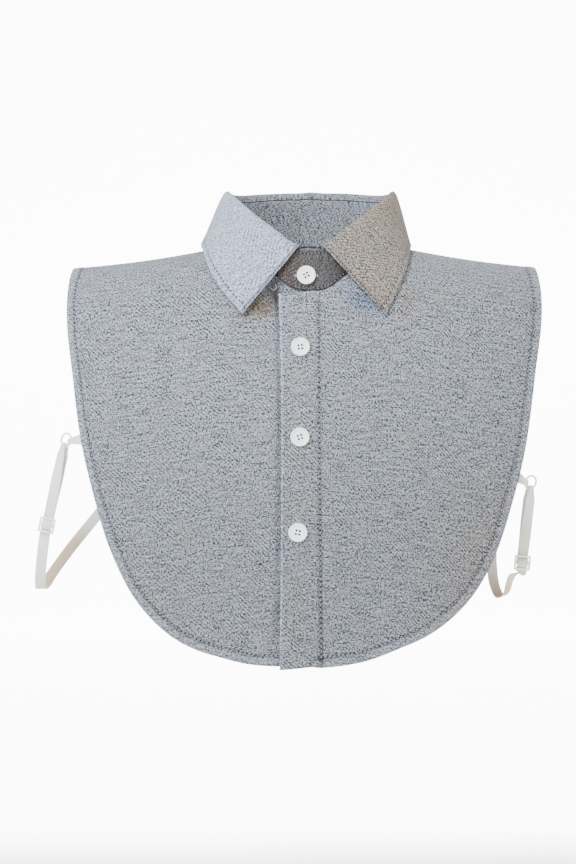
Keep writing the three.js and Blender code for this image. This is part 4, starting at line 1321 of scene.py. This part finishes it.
def elastic_material():
    """Knitted elastic: fine cords along the band and closely set courses across it."""
    m = Shader("knitted_elastic")
    uv = m.uv()
    u, v = m.parts(uv)[:2]
    cords = (u * 7000).sine()
    courses = (v * 5600 + cords * 0.9).sine()
    fuzz = m.noise(m.scaled(uv, (1500, 2200, 1)), 1, 3, 0.6)
    knit = cords * 0.3 + courses * 0.35 + fuzz * 0.6
    tone = m.step(knit, -0.4, 0.9)
    base = m.blend(tone, colour(0.62, 0.60, 0.555), colour(0.93, 0.91, 0.87))
    # Painted brown shade, laid over the band by its warm field where the strap hangs in shade
    brown_shade = m.blend(tone, colour(0.30, 0.20, 0.11), colour(0.64, 0.49, 0.32))
    base = m.blend(m.field("warm"), base, brown_shade)
    m.set(Base_Color=base, Roughness=m.step(fuzz, 0.2, 0.8, 0.9, 0.75), Normal=m.bump(knit, 0.00018, 0.8))
    m.set(Sheen_Weight=0.2)
    return m.material


# Pieces
def add_material(obj, material):
    obj.data.materials.clear()
    obj.data.materials.append(material)


def tones_of_front(panel, x_run, points):
    """Shares of painted light and shade on the bib: shadow of the collar, shade and a highlight by the
    placket, shade along the stitch lines, and shade low down.
    """
    x, z = points[..., 0], points[..., 2]
    is_left = float(panel is LEFT_PANEL)
    away = panel.from_edge(*x_run)
    edge = placket_edge_x(z)
    hem = bell(away - panel.hem + 0.3, 1.0) * smooth((-z - 4) / 6)
    stitch = (1 - is_left) * bell(x - PLACKET_STITCH_X - 1.4 + z / 150, 1.0) * smooth((-z - 34) / 6)
    under_leaf = is_left * bell(x + 37, 13) * bell(z + 46, 9)
    under_stand = is_left * bell(x + 26, 6) * bell(z + 35, 8)
    beside = is_left * bell(x - edge + 2.2, 1.6) * smooth((-z - 34) / 10)
    by_front_edge = (1 - is_left) * bell(x - 37 + 0.8 * (z + 42), 10) * bell(z + 42, 9)
    by_right_edge = bell(x - 71 - 0.3 * (z + 42), 6) * bell(z + 42, 13)
    low_right = bell(x - 140, 45) * smooth((-z - 140) / 120)
    low_left = bell(x + 120, 40) * smooth((-z - 210) / 60)
    middle = bell(x + 12, 13) * (0.5 + 0.5 * ripple(z, 90, 3)) * smooth((-z - 70) / 60)
    # Painted light and shade: warm is brownish shade under the leaf, by its right edge and low down; dark is
    # shadow under the leaf and stand, shade beside the placket, along the stitch lines and low down; cool is
    # bluish shade by the right leaf's front edge and beside the placket; light is a painted highlight on the
    # placket's fold and along the bib's edge
    warm = 0.95 * under_leaf + 0.5 * by_right_edge + 0.5 * low_right + 0.15 * low_left + 0.2 * middle
    low = 0.20 * smooth((-z - 60) / 190)
    shade = 0.58 * under_leaf + 0.28 * by_front_edge + 0.85 * under_stand + 0.10 * by_right_edge
    dark = shade + 0.40 * beside + low + 0.50 * hem + 0.60 * stitch
    cool = 0.55 * by_front_edge + 0.25 * beside
    light = (1 - is_left) * 0.7 * bell(x - edge, 1.0) + 0.25 * bell(away - 3, 3) * (z < -4)
    tones = {"warm": warm, "dark": dark, "cool": cool, "light": light}
    return {name: np.clip(amount, 0, 1) for name, amount in tones.items()}


def placket_edge_x(z):
    """Where the placket's free edge runs at a height."""
    return placket_free_edge(np.clip((-z - 28) / 275, 0, 1))


def build_left_front(looks):
    x, run, low, high = left_front_grid(looks.cloth_pitch / MM)
    inner, outer = cloth_point(x, run, FRONT, low), cloth_point(x, run, FRONT, high)
    return wall_object("left_front_cloth", inner, outer, cloth_uv(x, run),
                       tones_of_front(LEFT_PANEL, (x, run), outer))


def build_right_front(looks):
    x, run, low, high = right_front_grid(looks.cloth_pitch / MM)
    inner, outer = cloth_point(x, run, FRONT, low), cloth_point(x, run, FRONT, high)
    obj = wall_object("right_front_cloth", inner, outer, cloth_uv(x, run),
                      tones_of_front(RIGHT_PANEL, (x, run), outer))
    cutters = []
    for _, across, down, _ in PLACKET_BUTTONS:
        seat = placket_seat(across, down)
        cutters.append(block_at(seat, BUTTONHOLE_SLIT, BUTTONHOLE_LENGTH, 4 * PLACKET_WALL))
    cut_away(obj, join(cutters, "slit_cutter"))
    return obj


def build_back(looks):
    x, run, low, high = back_grid(1.5 * looks.cloth_pitch / MM)
    inner, outer = cloth_point(x, run, BACK, low), cloth_point(x, run, BACK, high)
    fields = {"warm": np.zeros(x.shape), "dark": np.zeros(x.shape)}
    return wall_object("back_cloth", inner, outer, cloth_uv(x, run), fields)


def collar_pitch(looks):
    """Distance between the mesh lines of the stand and the leaf, finer than the bib's."""
    return 0.8 * looks.cloth_pitch / MM


def stand_grid(pitch):
    length = NECK_RADIUS * (STAND_END - STAND_START)
    shares = edged_shares(length, pitch, STAND_WALL)
    turns = mix(STAND_START, STAND_END, shares)
    levels = edged_shares(STAND_FRONT_HEIGHT, pitch * 0.8, STAND_WALL)
    middle = stand_middle(turns, levels)
    edge = np.minimum(np.minimum(shares, 1 - shares)[:, None] * length,
                      np.minimum(levels, 1 - levels)[None] * STAND_FRONT_HEIGHT)
    return turns, levels, middle, edge


def stand_relief(turns, levels):
    """Soft creases of the band, mostly near the front on the viewer's right."""
    along, up = NECK_RADIUS * turns[:, None], levels[None] * STAND_FRONT_HEIGHT
    crease = -0.7 * bell(along - 24 - 0.9 * (up - 14), 3.2) * smooth(up / 14)
    swell = 0.35 * bell(along - 31 - 0.9 * (up - 14), 5)
    waves = 0.16 * ripple(along + 0.4 * up, 31, 3) + 0.1 * ripple(along, 13, 6)
    rows = sum(-0.16 * bell(up - place, 0.9) for place in STAND_ROWS)
    return crease + swell + waves + rows


def build_stand(looks):
    turns, levels, middle, edge = stand_grid(collar_pitch(looks))
    normals = grid_normals(middle)
    normals = normals * np.sign(np.einsum("ijk,ik->ij", normals, outward(turns)))[..., None]
    half = (STAND_WALL / 2 * closing(edge, STAND_WALL))[..., None]
    relief = stand_relief(turns, levels) * smooth(edge / 2.5) * (turns[:, None] < STAND_UNDER_TURN)
    shift = relief[..., None] * normals
    inner, outer = middle + shift - normals * half, middle + shift + normals * half
    x, y = outer[..., 0], outer[..., 1]
    # Painted shade over the stand's front under the leaf: darker on the right beneath the right leaf, browner
    # on the left
    shaded = smooth((-y - 30) / 20)
    fields = {"warm": shaded * (0.15 + 0.5 * smooth((2 - x) / 20)),
              "dark": shaded * (0.76 + 0.18 * bell(x - 25, 8))}
    obj = wall_object("stand_cloth", inner, outer, grid_uv(outer), fields)
    cut_away(obj, block_at(stand_seat(), BUTTONHOLE_LENGTH, BUTTONHOLE_SLIT, 2.5 * STAND_WALL))
    return obj


def leaf_faces(pitch):
    """The leaf's inner and outer grids with its fields."""
    turns, middle, to_edge, to_front = leaf_grid(pitch)
    normals = grid_normals(middle)
    normals = normals * np.sign(np.einsum("jk,jk->j", normals[:, -5], outward(turns)))[:, None, None]
    edge = np.minimum(to_edge, to_front)
    from_foot = np.linalg.norm(middle - middle[:, :1], axis=-1)
    edge_all = np.minimum(edge, np.maximum(from_foot, 0.3))
    half = (LEAF_WALL / 2 * closing(edge_all, LEAF_WALL))[..., None]
    row = bell(edge - LEAF_ROW, 0.9)
    along = NECK_RADIUS * turns[:, None]
    relief = -0.22 * row + 0.16 * bell(edge - 2.4, 1.6)
    relief = relief + 0.13 * ripple(along, 8, 4) * bell(edge - LEAF_ROW, 3)
    waves = ripple(along + 0.5 * to_edge, 44, 1) * smooth(to_edge / 12) * smooth(from_foot / 15)
    relief = relief + 0.25 * waves
    relief = relief * smooth(edge / 1.2)
    outer = middle + normals * (half + relief[..., None])
    inner = middle - normals * half
    return turns, inner, outer, normals, edge, to_edge, to_front


def build_leaf(looks):
    _, inner, outer, _, edge, to_edge, to_front = leaf_faces(collar_pitch(looks))
    x, y, z = (outer[..., k] for k in range(3))
    # Painted light and shade: the right leaf's front is tinted brownish as shade, the left leaf's front gets
    # a pale painted highlight, the inner face darkens at the edges as shadow, and a dark painted shadow line
    # runs just inside each front edge
    at_front = smooth((20 - y) / 40)
    right, left = smooth(x / 20) * at_front, smooth(-x / 20) * at_front
    warm = right * mix(0.65, 1.0, smooth(z / 45))
    under = 0.75 * bell(edge, 1.1)
    fronts = bell(to_front - 1.7, 0.7) * smooth((to_edge - 1) / 2) * np.clip(left + right, 0, 1)
    fields = {"warm": np.stack([warm, warm]), "dark": np.stack([under, 0.05 * right + 0.55 * fronts]),
              "light": np.stack([0.75 * left, 0.75 * left])}
    return wall_object("leaf_cloth", inner, outer, grid_uv(outer), fields)


def contour(points, values, level):
    """The line on a grid of points where values first pass a level, one point per row."""
    line = []
    for row, amounts in zip(points, values):
        over = np.nonzero(amounts[::-1] >= level)[0]
        if len(over) == 0 or over[0] == 0:
            continue
        k = len(amounts) - 1 - over[0]
        share = (level - amounts[k + 1]) / (amounts[k] - amounts[k + 1])
        line.append(mix(row[k + 1], row[k], share))
    return np.array(line)


def leaf_stitches(looks):
    """The leaf's edge stitching along the outer edge, and a close row near each front edge."""
    turns, _, outer, normals, _, to_edge, to_front = leaf_faces(collar_pitch(looks))
    line, ups = contour(outer, to_edge, LEAF_ROW), contour(normals, to_edge, LEAF_ROW)
    away = contour(to_front[..., None], to_edge, LEAF_ROW)[:, 0]
    keep = away >= LEAF_FRONT_ROW
    made = list(stitch_row("leaf_edge_stitches", line[keep], unit(ups[keep]), looks.stitch_pitch / MM))
    flipped = [grid.swapaxes(0, 1) for grid in (outer, normals, to_front, to_edge)]
    middle = len(turns) // 2
    for label, columns in (("right", slice(None, middle)), ("left", slice(None, middle, -1))):
        points, up, away, low = (grid[:, columns][:, ::-1] for grid in flipped)
        line, ups = contour(points, away, LEAF_FRONT_ROW), contour(up, away, LEAF_FRONT_ROW)
        keep = contour(low[..., None], away, LEAF_FRONT_ROW)[:, 0] >= 1.5
        made += stitch_row(label + "_leaf_front_stitches", line[keep], unit(ups[keep]), 2.2, 0.2, 0.5, 0.5)
    return made


def bib_stitches(looks):
    """The hem stitching of the fronts and the back, and the placket's stitch line."""
    made = []
    pitch = looks.stitch_pitch / MM
    for label, panel, first in (("left_front", LEFT_PANEL, 0.0), ("right_front", RIGHT_PANEL, 0.0),
                                ("back_left", BACK_PANELS[0], 0.0), ("back_right", BACK_PANELS[1], 0.0)):
        xy = panel.inset(panel.hem, first, 1.0)
        if panel is LEFT_PANEL:
            xy = xy[xy[:, 0] < PLACKET_EDGE_TOP + PLACKET_EDGE_LEAN - 0.5]
        points = panel.face(xy[:, 0], xy[:, 1], 0.02)
        normals = rest_normal(xy[:, 0], xy[:, 1], panel.side)
        keep = points[:, 2] < -1
        made += stitch_row(label + "_hem_stitches", points[keep], normals[keep], pitch)
    v = np.linspace(0.1, 0.975, 300)
    x = PLACKET_STITCH_X + 1.2 + 2 * v
    start = float(seam_run(seam_turn(PLACKET_STITCH_X))[0])
    run = mix(start, RIGHT_PANEL.edge[-1, 1], v)
    offset = RIGHT_PANEL.outer(x, run) - 0.35
    points = cloth_point(x, run, FRONT, offset)
    made += stitch_row("placket_stitches", points, rest_normal(x, run, FRONT), pitch * 1.15)
    return made


def stand_stitches(looks):
    made = []
    turns = np.linspace(STAND_START + 0.04, 2 * math.pi + 0.2, 900)
    out = outward(turns)
    for label, rise in zip(("low", "high"), STAND_ROWS):
        heights = rise * stand_height(turns) / STAND_FRONT_HEIGHT
        points = stand_point(turns, heights)
        tilt = unit(out + np.array([0, 0, STAND_LEAN / STAND_SIDE_HEIGHT]))
        levels = np.array([rise / STAND_FRONT_HEIGHT])
        relief = stand_relief(turns, levels)[:, 0] * (turns < STAND_UNDER_TURN)
        points = points + tilt * (STAND_WALL / 2 + relief)[:, None]
        made += stitch_row("stand_" + label + "_stitches", points, tilt, looks.stitch_pitch / MM * 0.85,
                           0.18, 0.34, 0.85)
    return made


def buttonhole_threads(name, seat, length, lift, vertical):
    """Close satin stitches on both sides of a slit, and a bar across each end."""
    starts, ends = [], []
    pitch = 0.3
    for sign in (-1, 1):
        for k in range(int(length / pitch)):
            along = -length / 2 + pitch * (k + 0.5)
            wobble = 0.12 * math.sin(k * 2.4 + sign)
            starts.append((sign * 0.22, along, lift))
            ends.append((sign * (1.15 + wobble), along + 0.05, lift))
    for end in (-1, 1):
        for k in range(4):
            along = end * (length / 2 + 0.12 + 0.26 * k)
            starts.append((-1.1, along, lift))
            ends.append((1.1, along + 0.04, lift))
    starts, ends = np.array(starts), np.array(ends)
    obj = thread_stitches(name, starts, ends, np.tile([0.0, 0, 1], (len(starts), 1)), 0.17, 0.2)
    turned = Matrix.Identity(4) if vertical else Matrix.Rotation(math.pi / 2, 4, "Z")
    obj.data.transform(seat @ turned)
    return obj


def loose_thread():
    """A short end of thread that hangs out below the stand, left of the placket."""
    places = [(-29.2, -31.2), (-28.2, -33.6), (-26.2, -34.2), (-24.8, -31.8), (-25.6, -29.8)]
    x = np.array([place[0] for place in places])
    run = run_at_height(x, np.array([place[1] for place in places]), FRONT)
    stops = cloth_point(x, run, FRONT, np.array([2.1, 2.4, 2.2, 2.6, 2.2]))
    fine = np.array([centripetal(stops, place) for place in np.linspace(0, len(stops) - 1, 40)])
    angle = np.arange(8) * 2 * math.pi / 8
    tangent = unit(np.gradient(fine, axis=0))
    side = unit(np.cross(tangent, [[0.3, -1.0, 0.2]]))
    other = np.cross(tangent, side)
    ring = np.cos(angle)[None, :, None] * side[:, None] + np.sin(angle)[None, :, None] * other[:, None]
    points = fine[:, None] + 0.22 * ring
    return mesh_object("loose_thread_end", points.reshape(-1, 3), tube_faces(1, len(fine), 8))


CAMERA_PLACE = (-0.0165, -2.0, -0.1365)
CAMERA_LENS = 111.11
CAMERA_SENSOR_HEIGHT = 36
FLOOR_HEIGHT = -0.50
BACKDROP_REACH = 3500.0
BACKDROP_SWEEP = 600.0
BACKDROP_GLOW = 9.0
KEY_LIGHT = ((-0.8, -1.15, 1.0), 0.9, (0.93, 0.97, 1.0))
FILL_LIGHT = ((1.7, -1.2, 0.2), 1.4, (1.0, 0.90, 0.80))
LIGHTS_AIM = (0, 0, -0.12)


def finish_piece(obj, material, nodes=()):
    add_material(obj, material)
    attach(obj, "root")
    if nodes:
        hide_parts(*nodes)


def material_named(name, build):
    return bpy.data.materials.get(name) or build()


def cloth():
    return material_named("woven_melange_cloth", cloth_material)


def thread():
    return material_named("pale_sewing_thread", thread_material)


def dark_hole():
    return material_named("dark_needle_hole", hole_material)


def finish_stitches(objects):
    for obj in objects:
        finish_piece(obj, dark_hole() if obj.name.endswith("_holes") else thread())


class CollarLooks(bpy.types.PropertyGroup):
    """Sizes and lights of the collar's looks."""

    cloth_pitch: bpy.props.FloatProperty(
        name="Cloth pitch", description="Distance between the lines of the cloth meshes",
        default=0.0015, min=0.0005, unit="LENGTH")
    stitch_pitch: bpy.props.FloatProperty(
        name="Stitch pitch", description="Distance between needle holes in a row of stitches",
        default=0.0032, min=0.001, unit="LENGTH")
    strap_step: bpy.props.FloatProperty(
        name="Strap step", description="Distance between the sections of an elastic band",
        default=0.0008, min=0.0002, unit="LENGTH")
    key_power: bpy.props.FloatProperty(
        name="Key power", description="Power of the large light at the upper left",
        default=66.0, min=0.0, unit="POWER")
    fill_power: bpy.props.FloatProperty(
        name="Fill power", description="Power of the warm light at the right",
        default=16.0, min=0.0, unit="POWER")
    sky_strength: bpy.props.FloatProperty(
        name="Sky strength", description="Brightness of the even light all round",
        default=1.25, min=0.0)


class PieceOperator:
    """What the operators share: each builds its pieces from the scene's looks."""

    bl_options = {"REGISTER", "UNDO"}

    def execute(self, context):
        self.build(context.scene.collar_looks)
        return {"FINISHED"}


class COLLAR_OT_left_front(PieceOperator, bpy.types.Operator):
    """Build the bib's front on the viewer's left"""

    bl_idname = "collar.left_front"
    bl_label = "Left front"

    def build(self, looks):
        finish_piece(build_left_front(looks), cloth(), ["left_front"])


class COLLAR_OT_right_front(PieceOperator, bpy.types.Operator):
    """Build the bib's front on the viewer's right, with its placket"""

    bl_idname = "collar.right_front"
    bl_label = "Right front"

    def build(self, looks):
        finish_piece(build_right_front(looks), cloth(), ["right_front"])


class COLLAR_OT_back(PieceOperator, bpy.types.Operator):
    """Build the bib's back"""

    bl_idname = "collar.back"
    bl_label = "Back"

    def build(self, looks):
        finish_piece(build_back(looks), cloth(), ["back_panel"])


class COLLAR_OT_stand(PieceOperator, bpy.types.Operator):
    """Build the band round the neck"""

    bl_idname = "collar.stand"
    bl_label = "Stand"

    def build(self, looks):
        finish_piece(build_stand(looks), cloth(), ["collar_stand"])


class COLLAR_OT_leaf(PieceOperator, bpy.types.Operator):
    """Build the turned-down leaf with its two points"""

    bl_idname = "collar.leaf"
    bl_label = "Leaf"

    def build(self, looks):
        finish_piece(build_leaf(looks), cloth(), ["collar_leaf"])


class COLLAR_OT_stitching(PieceOperator, bpy.types.Operator):
    """Sew the rows of stitches on the bib, the stand and the leaf"""

    bl_idname = "collar.stitching"
    bl_label = "Stitching"

    def build(self, looks):
        finish_stitches(bib_stitches(looks) + stand_stitches(looks) + leaf_stitches(looks))
        finish_piece(loose_thread(), thread())


class COLLAR_OT_buttons(PieceOperator, bpy.types.Operator):
    """Build the four buttons with their thread and the stitched buttonholes"""

    bl_idname = "collar.buttons"
    bl_label = "Buttons"

    def build(self, looks):
        material = material_named("pearly_button_plastic", button_material)
        rows = [("stand_button", stand_seat(), 0.5, False)]
        for name, across, down, turn in PLACKET_BUTTONS:
            rows.append((name, placket_seat(across, down), turn, True))
        for name, seat, turn, vertical in rows:
            button = button_object(name + "_shaped", seat, turn, BUTTON_DIAMETER / 2, BUTTON_THICKNESS,
                                   BUTTON_HOLE, BUTTON_HOLE_SPREAD)
            finish_piece(button, material, [name])
            sewn = button_threads(name + "_thread", seat, turn, BUTTON_HOLE_SPREAD)
            # The thread in the button's holes takes the near-black needle-hole colour: painted shade inside
            # the holes
            finish_piece(sewn, dark_hole())
            hole = buttonhole_threads(name + "_hole_stitches", seat, BUTTONHOLE_LENGTH, 0.1, vertical)
            finish_piece(hole, thread())


class COLLAR_OT_hardware(PieceOperator, bpy.types.Operator):
    """Build the rings and the slide adjusters"""

    bl_idname = "collar.hardware"
    bl_label = "Hardware"

    def build(self, looks):
        material = material_named("moulded_hardware_plastic", hardware_material)
        for label, row in STRAP_ROUTES.items():
            route = Route(row)
            ring = ring_object(label + "_ring_shaped", route)
            finish_piece(ring, material, [label + "_ring"])
            slider = slider_object(label + "_slider_shaped", route)
            finish_piece(slider, material, [label + "_slider"])


class COLLAR_OT_straps(PieceOperator, bpy.types.Operator):
    """Build the elastic straps and the tabs that hold the rings"""

    bl_idname = "collar.straps"
    bl_label = "Straps"

    def build(self, looks):
        material = material_named("knitted_elastic", elastic_material)
        for label, row in STRAP_ROUTES.items():
            route = Route(row)
            for kind, stops in (("strap", route.strap_stops()), ("ring_tab", route.tab_stops())):
                band = ribbon_object(label + "_" + kind + "_band", stops, STRAP_WALL, looks.strap_step / MM)
                colour_band(band, route.side)
                finish_piece(band, material, [label + "_" + kind])


def colour_band(band, side):
    """Tone the lower back run of a strap brown, as where it lies in warm shade."""
    count = len(band.data.vertices)
    places = np.empty(count * 3, dtype=np.float32)
    band.data.vertices.foreach_get("co", places)
    y, z = places.reshape(-1, 3)[:, 1] / MM, places.reshape(-1, 3)[:, 2] / MM
    low = smooth((-z - (200 if side == LEFT else 236)) / 25)
    warm = low * (smooth((y + 18) / 18) * 0.9 if side == LEFT else 1.0)
    warm = warm + (0.30 * smooth((-z - 180) / 30) * (1 - low) if side == RIGHT else 0)
    field = band.data.attributes.new("warm", "FLOAT", "POINT")
    field.data.foreach_set("value", warm.astype(np.float32))


class COLLAR_OT_stage(PieceOperator, bpy.types.Operator):
    """Set the pale backdrop, the lights and the camera"""

    bl_idname = "collar.stage"
    bl_label = "Stage"

    def build(self, looks):
        floor = backdrop()
        shader = Shader("pale_backdrop")
        shade = shader.noise(shader.object_place(), 3, 2, 0.5)
        pale = shader.blend(shade, colour(0.93, 0.93, 0.93), colour(0.95, 0.95, 0.95))
        shader.set(Base_Color=pale, Roughness=0.9)
        across, depth, height = shader.parts(shader.object_place())
        glow = shader.step(depth, 0.1, 0.5) * shader.step(height, 0.9, 1.3, 1, 0)
        glow = glow * shader.step(across, -1.2, -0.7) * shader.step(across, 0.7, 1.2, 1, 0)
        shader.set(Emission_Color=shader.blend(glow, colour(0, 0, 0), colour(1, 1, 1)))
        shader.set(Emission_Strength=BACKDROP_GLOW)
        add_material(floor, shader.material)
        world = bpy.data.worlds.new("studio")
        world.use_nodes = True
        background = world.node_tree.nodes["Background"]
        background.inputs["Color"].default_value = colour(0.97, 0.985, 1.0)
        background.inputs["Strength"].default_value = looks.sky_strength
        bpy.context.scene.world = world
        area_light("key", looks.key_power, *KEY_LIGHT)
        area_light("fill", looks.fill_power, *FILL_LIGHT)
        camera = bpy.data.objects.new("camera", bpy.data.cameras.new("camera"))
        camera.location = CAMERA_PLACE
        camera.rotation_euler = (math.pi / 2, 0, 0)
        camera.data.sensor_fit, camera.data.sensor_height = "VERTICAL", CAMERA_SENSOR_HEIGHT
        camera.data.lens = CAMERA_LENS
        bpy.context.collection.objects.link(camera)
        bpy.context.scene.camera = camera


def area_light(name, power, place, size, tint):
    light = bpy.data.lights.new(name, "AREA")
    light.energy, light.size, light.color = power, size, tint
    obj = bpy.data.objects.new(name, light)
    obj.location = place
    aim = Vector(LIGHTS_AIM) - Vector(place)
    obj.rotation_euler = aim.to_track_quat("-Z", "Y").to_euler()
    bpy.context.collection.objects.link(obj)


def backdrop():
    """A floor that sweeps up into a wall behind the collar."""
    turn = np.linspace(0, math.pi / 2, 24)
    level = BACKDROP_REACH - BACKDROP_SWEEP
    sweep = np.stack([level + BACKDROP_SWEEP * np.sin(turn), BACKDROP_SWEEP * (1 - np.cos(turn))], axis=-1)
    profile = np.concatenate([[[-BACKDROP_REACH, 0]], sweep, [[BACKDROP_REACH, BACKDROP_REACH]]])
    across = np.array([-BACKDROP_REACH, BACKDROP_REACH])
    points = np.stack(np.broadcast_arrays(
        across[:, None], profile[None, :, 0], profile[None, :, 1] + FLOOR_HEIGHT / MM), axis=-1)
    faces = grid_faces(2, len(profile)).tolist()
    return mesh_object("backdrop", points.reshape(-1, 3), faces)


OPERATORS = (
    COLLAR_OT_left_front, COLLAR_OT_right_front, COLLAR_OT_back, COLLAR_OT_stand, COLLAR_OT_leaf,
    COLLAR_OT_stitching, COLLAR_OT_buttons, COLLAR_OT_hardware, COLLAR_OT_straps, COLLAR_OT_stage,
)


class COLLAR_PT_panel(bpy.types.Panel):
    """Lists the collar's pieces in the sidebar"""

    bl_idname = "COLLAR_PT_panel"
    bl_label = "Detachable collar"
    bl_space_type = "VIEW_3D"
    bl_region_type = "UI"
    bl_category = "Collar"

    def draw(self, context):
        looks = context.scene.collar_looks
        for name in CollarLooks.__annotations__:
            self.layout.prop(looks, name)
        for operator in OPERATORS:
            self.layout.operator(operator.bl_idname)


def register():
    for cls in (CollarLooks, *OPERATORS, COLLAR_PT_panel):
        bpy.utils.register_class(cls)
    bpy.types.Scene.collar_looks = bpy.props.PointerProperty(type=CollarLooks)


def unregister():
    del bpy.types.Scene.collar_looks
    for cls in reversed((CollarLooks, *OPERATORS, COLLAR_PT_panel)):
        bpy.utils.unregister_class(cls)


def main():
    register()
    for operator in OPERATORS:
        name = operator.bl_idname.split(".")[1]
        getattr(bpy.ops.collar, name)()


if __name__ == "__main__":
    main()
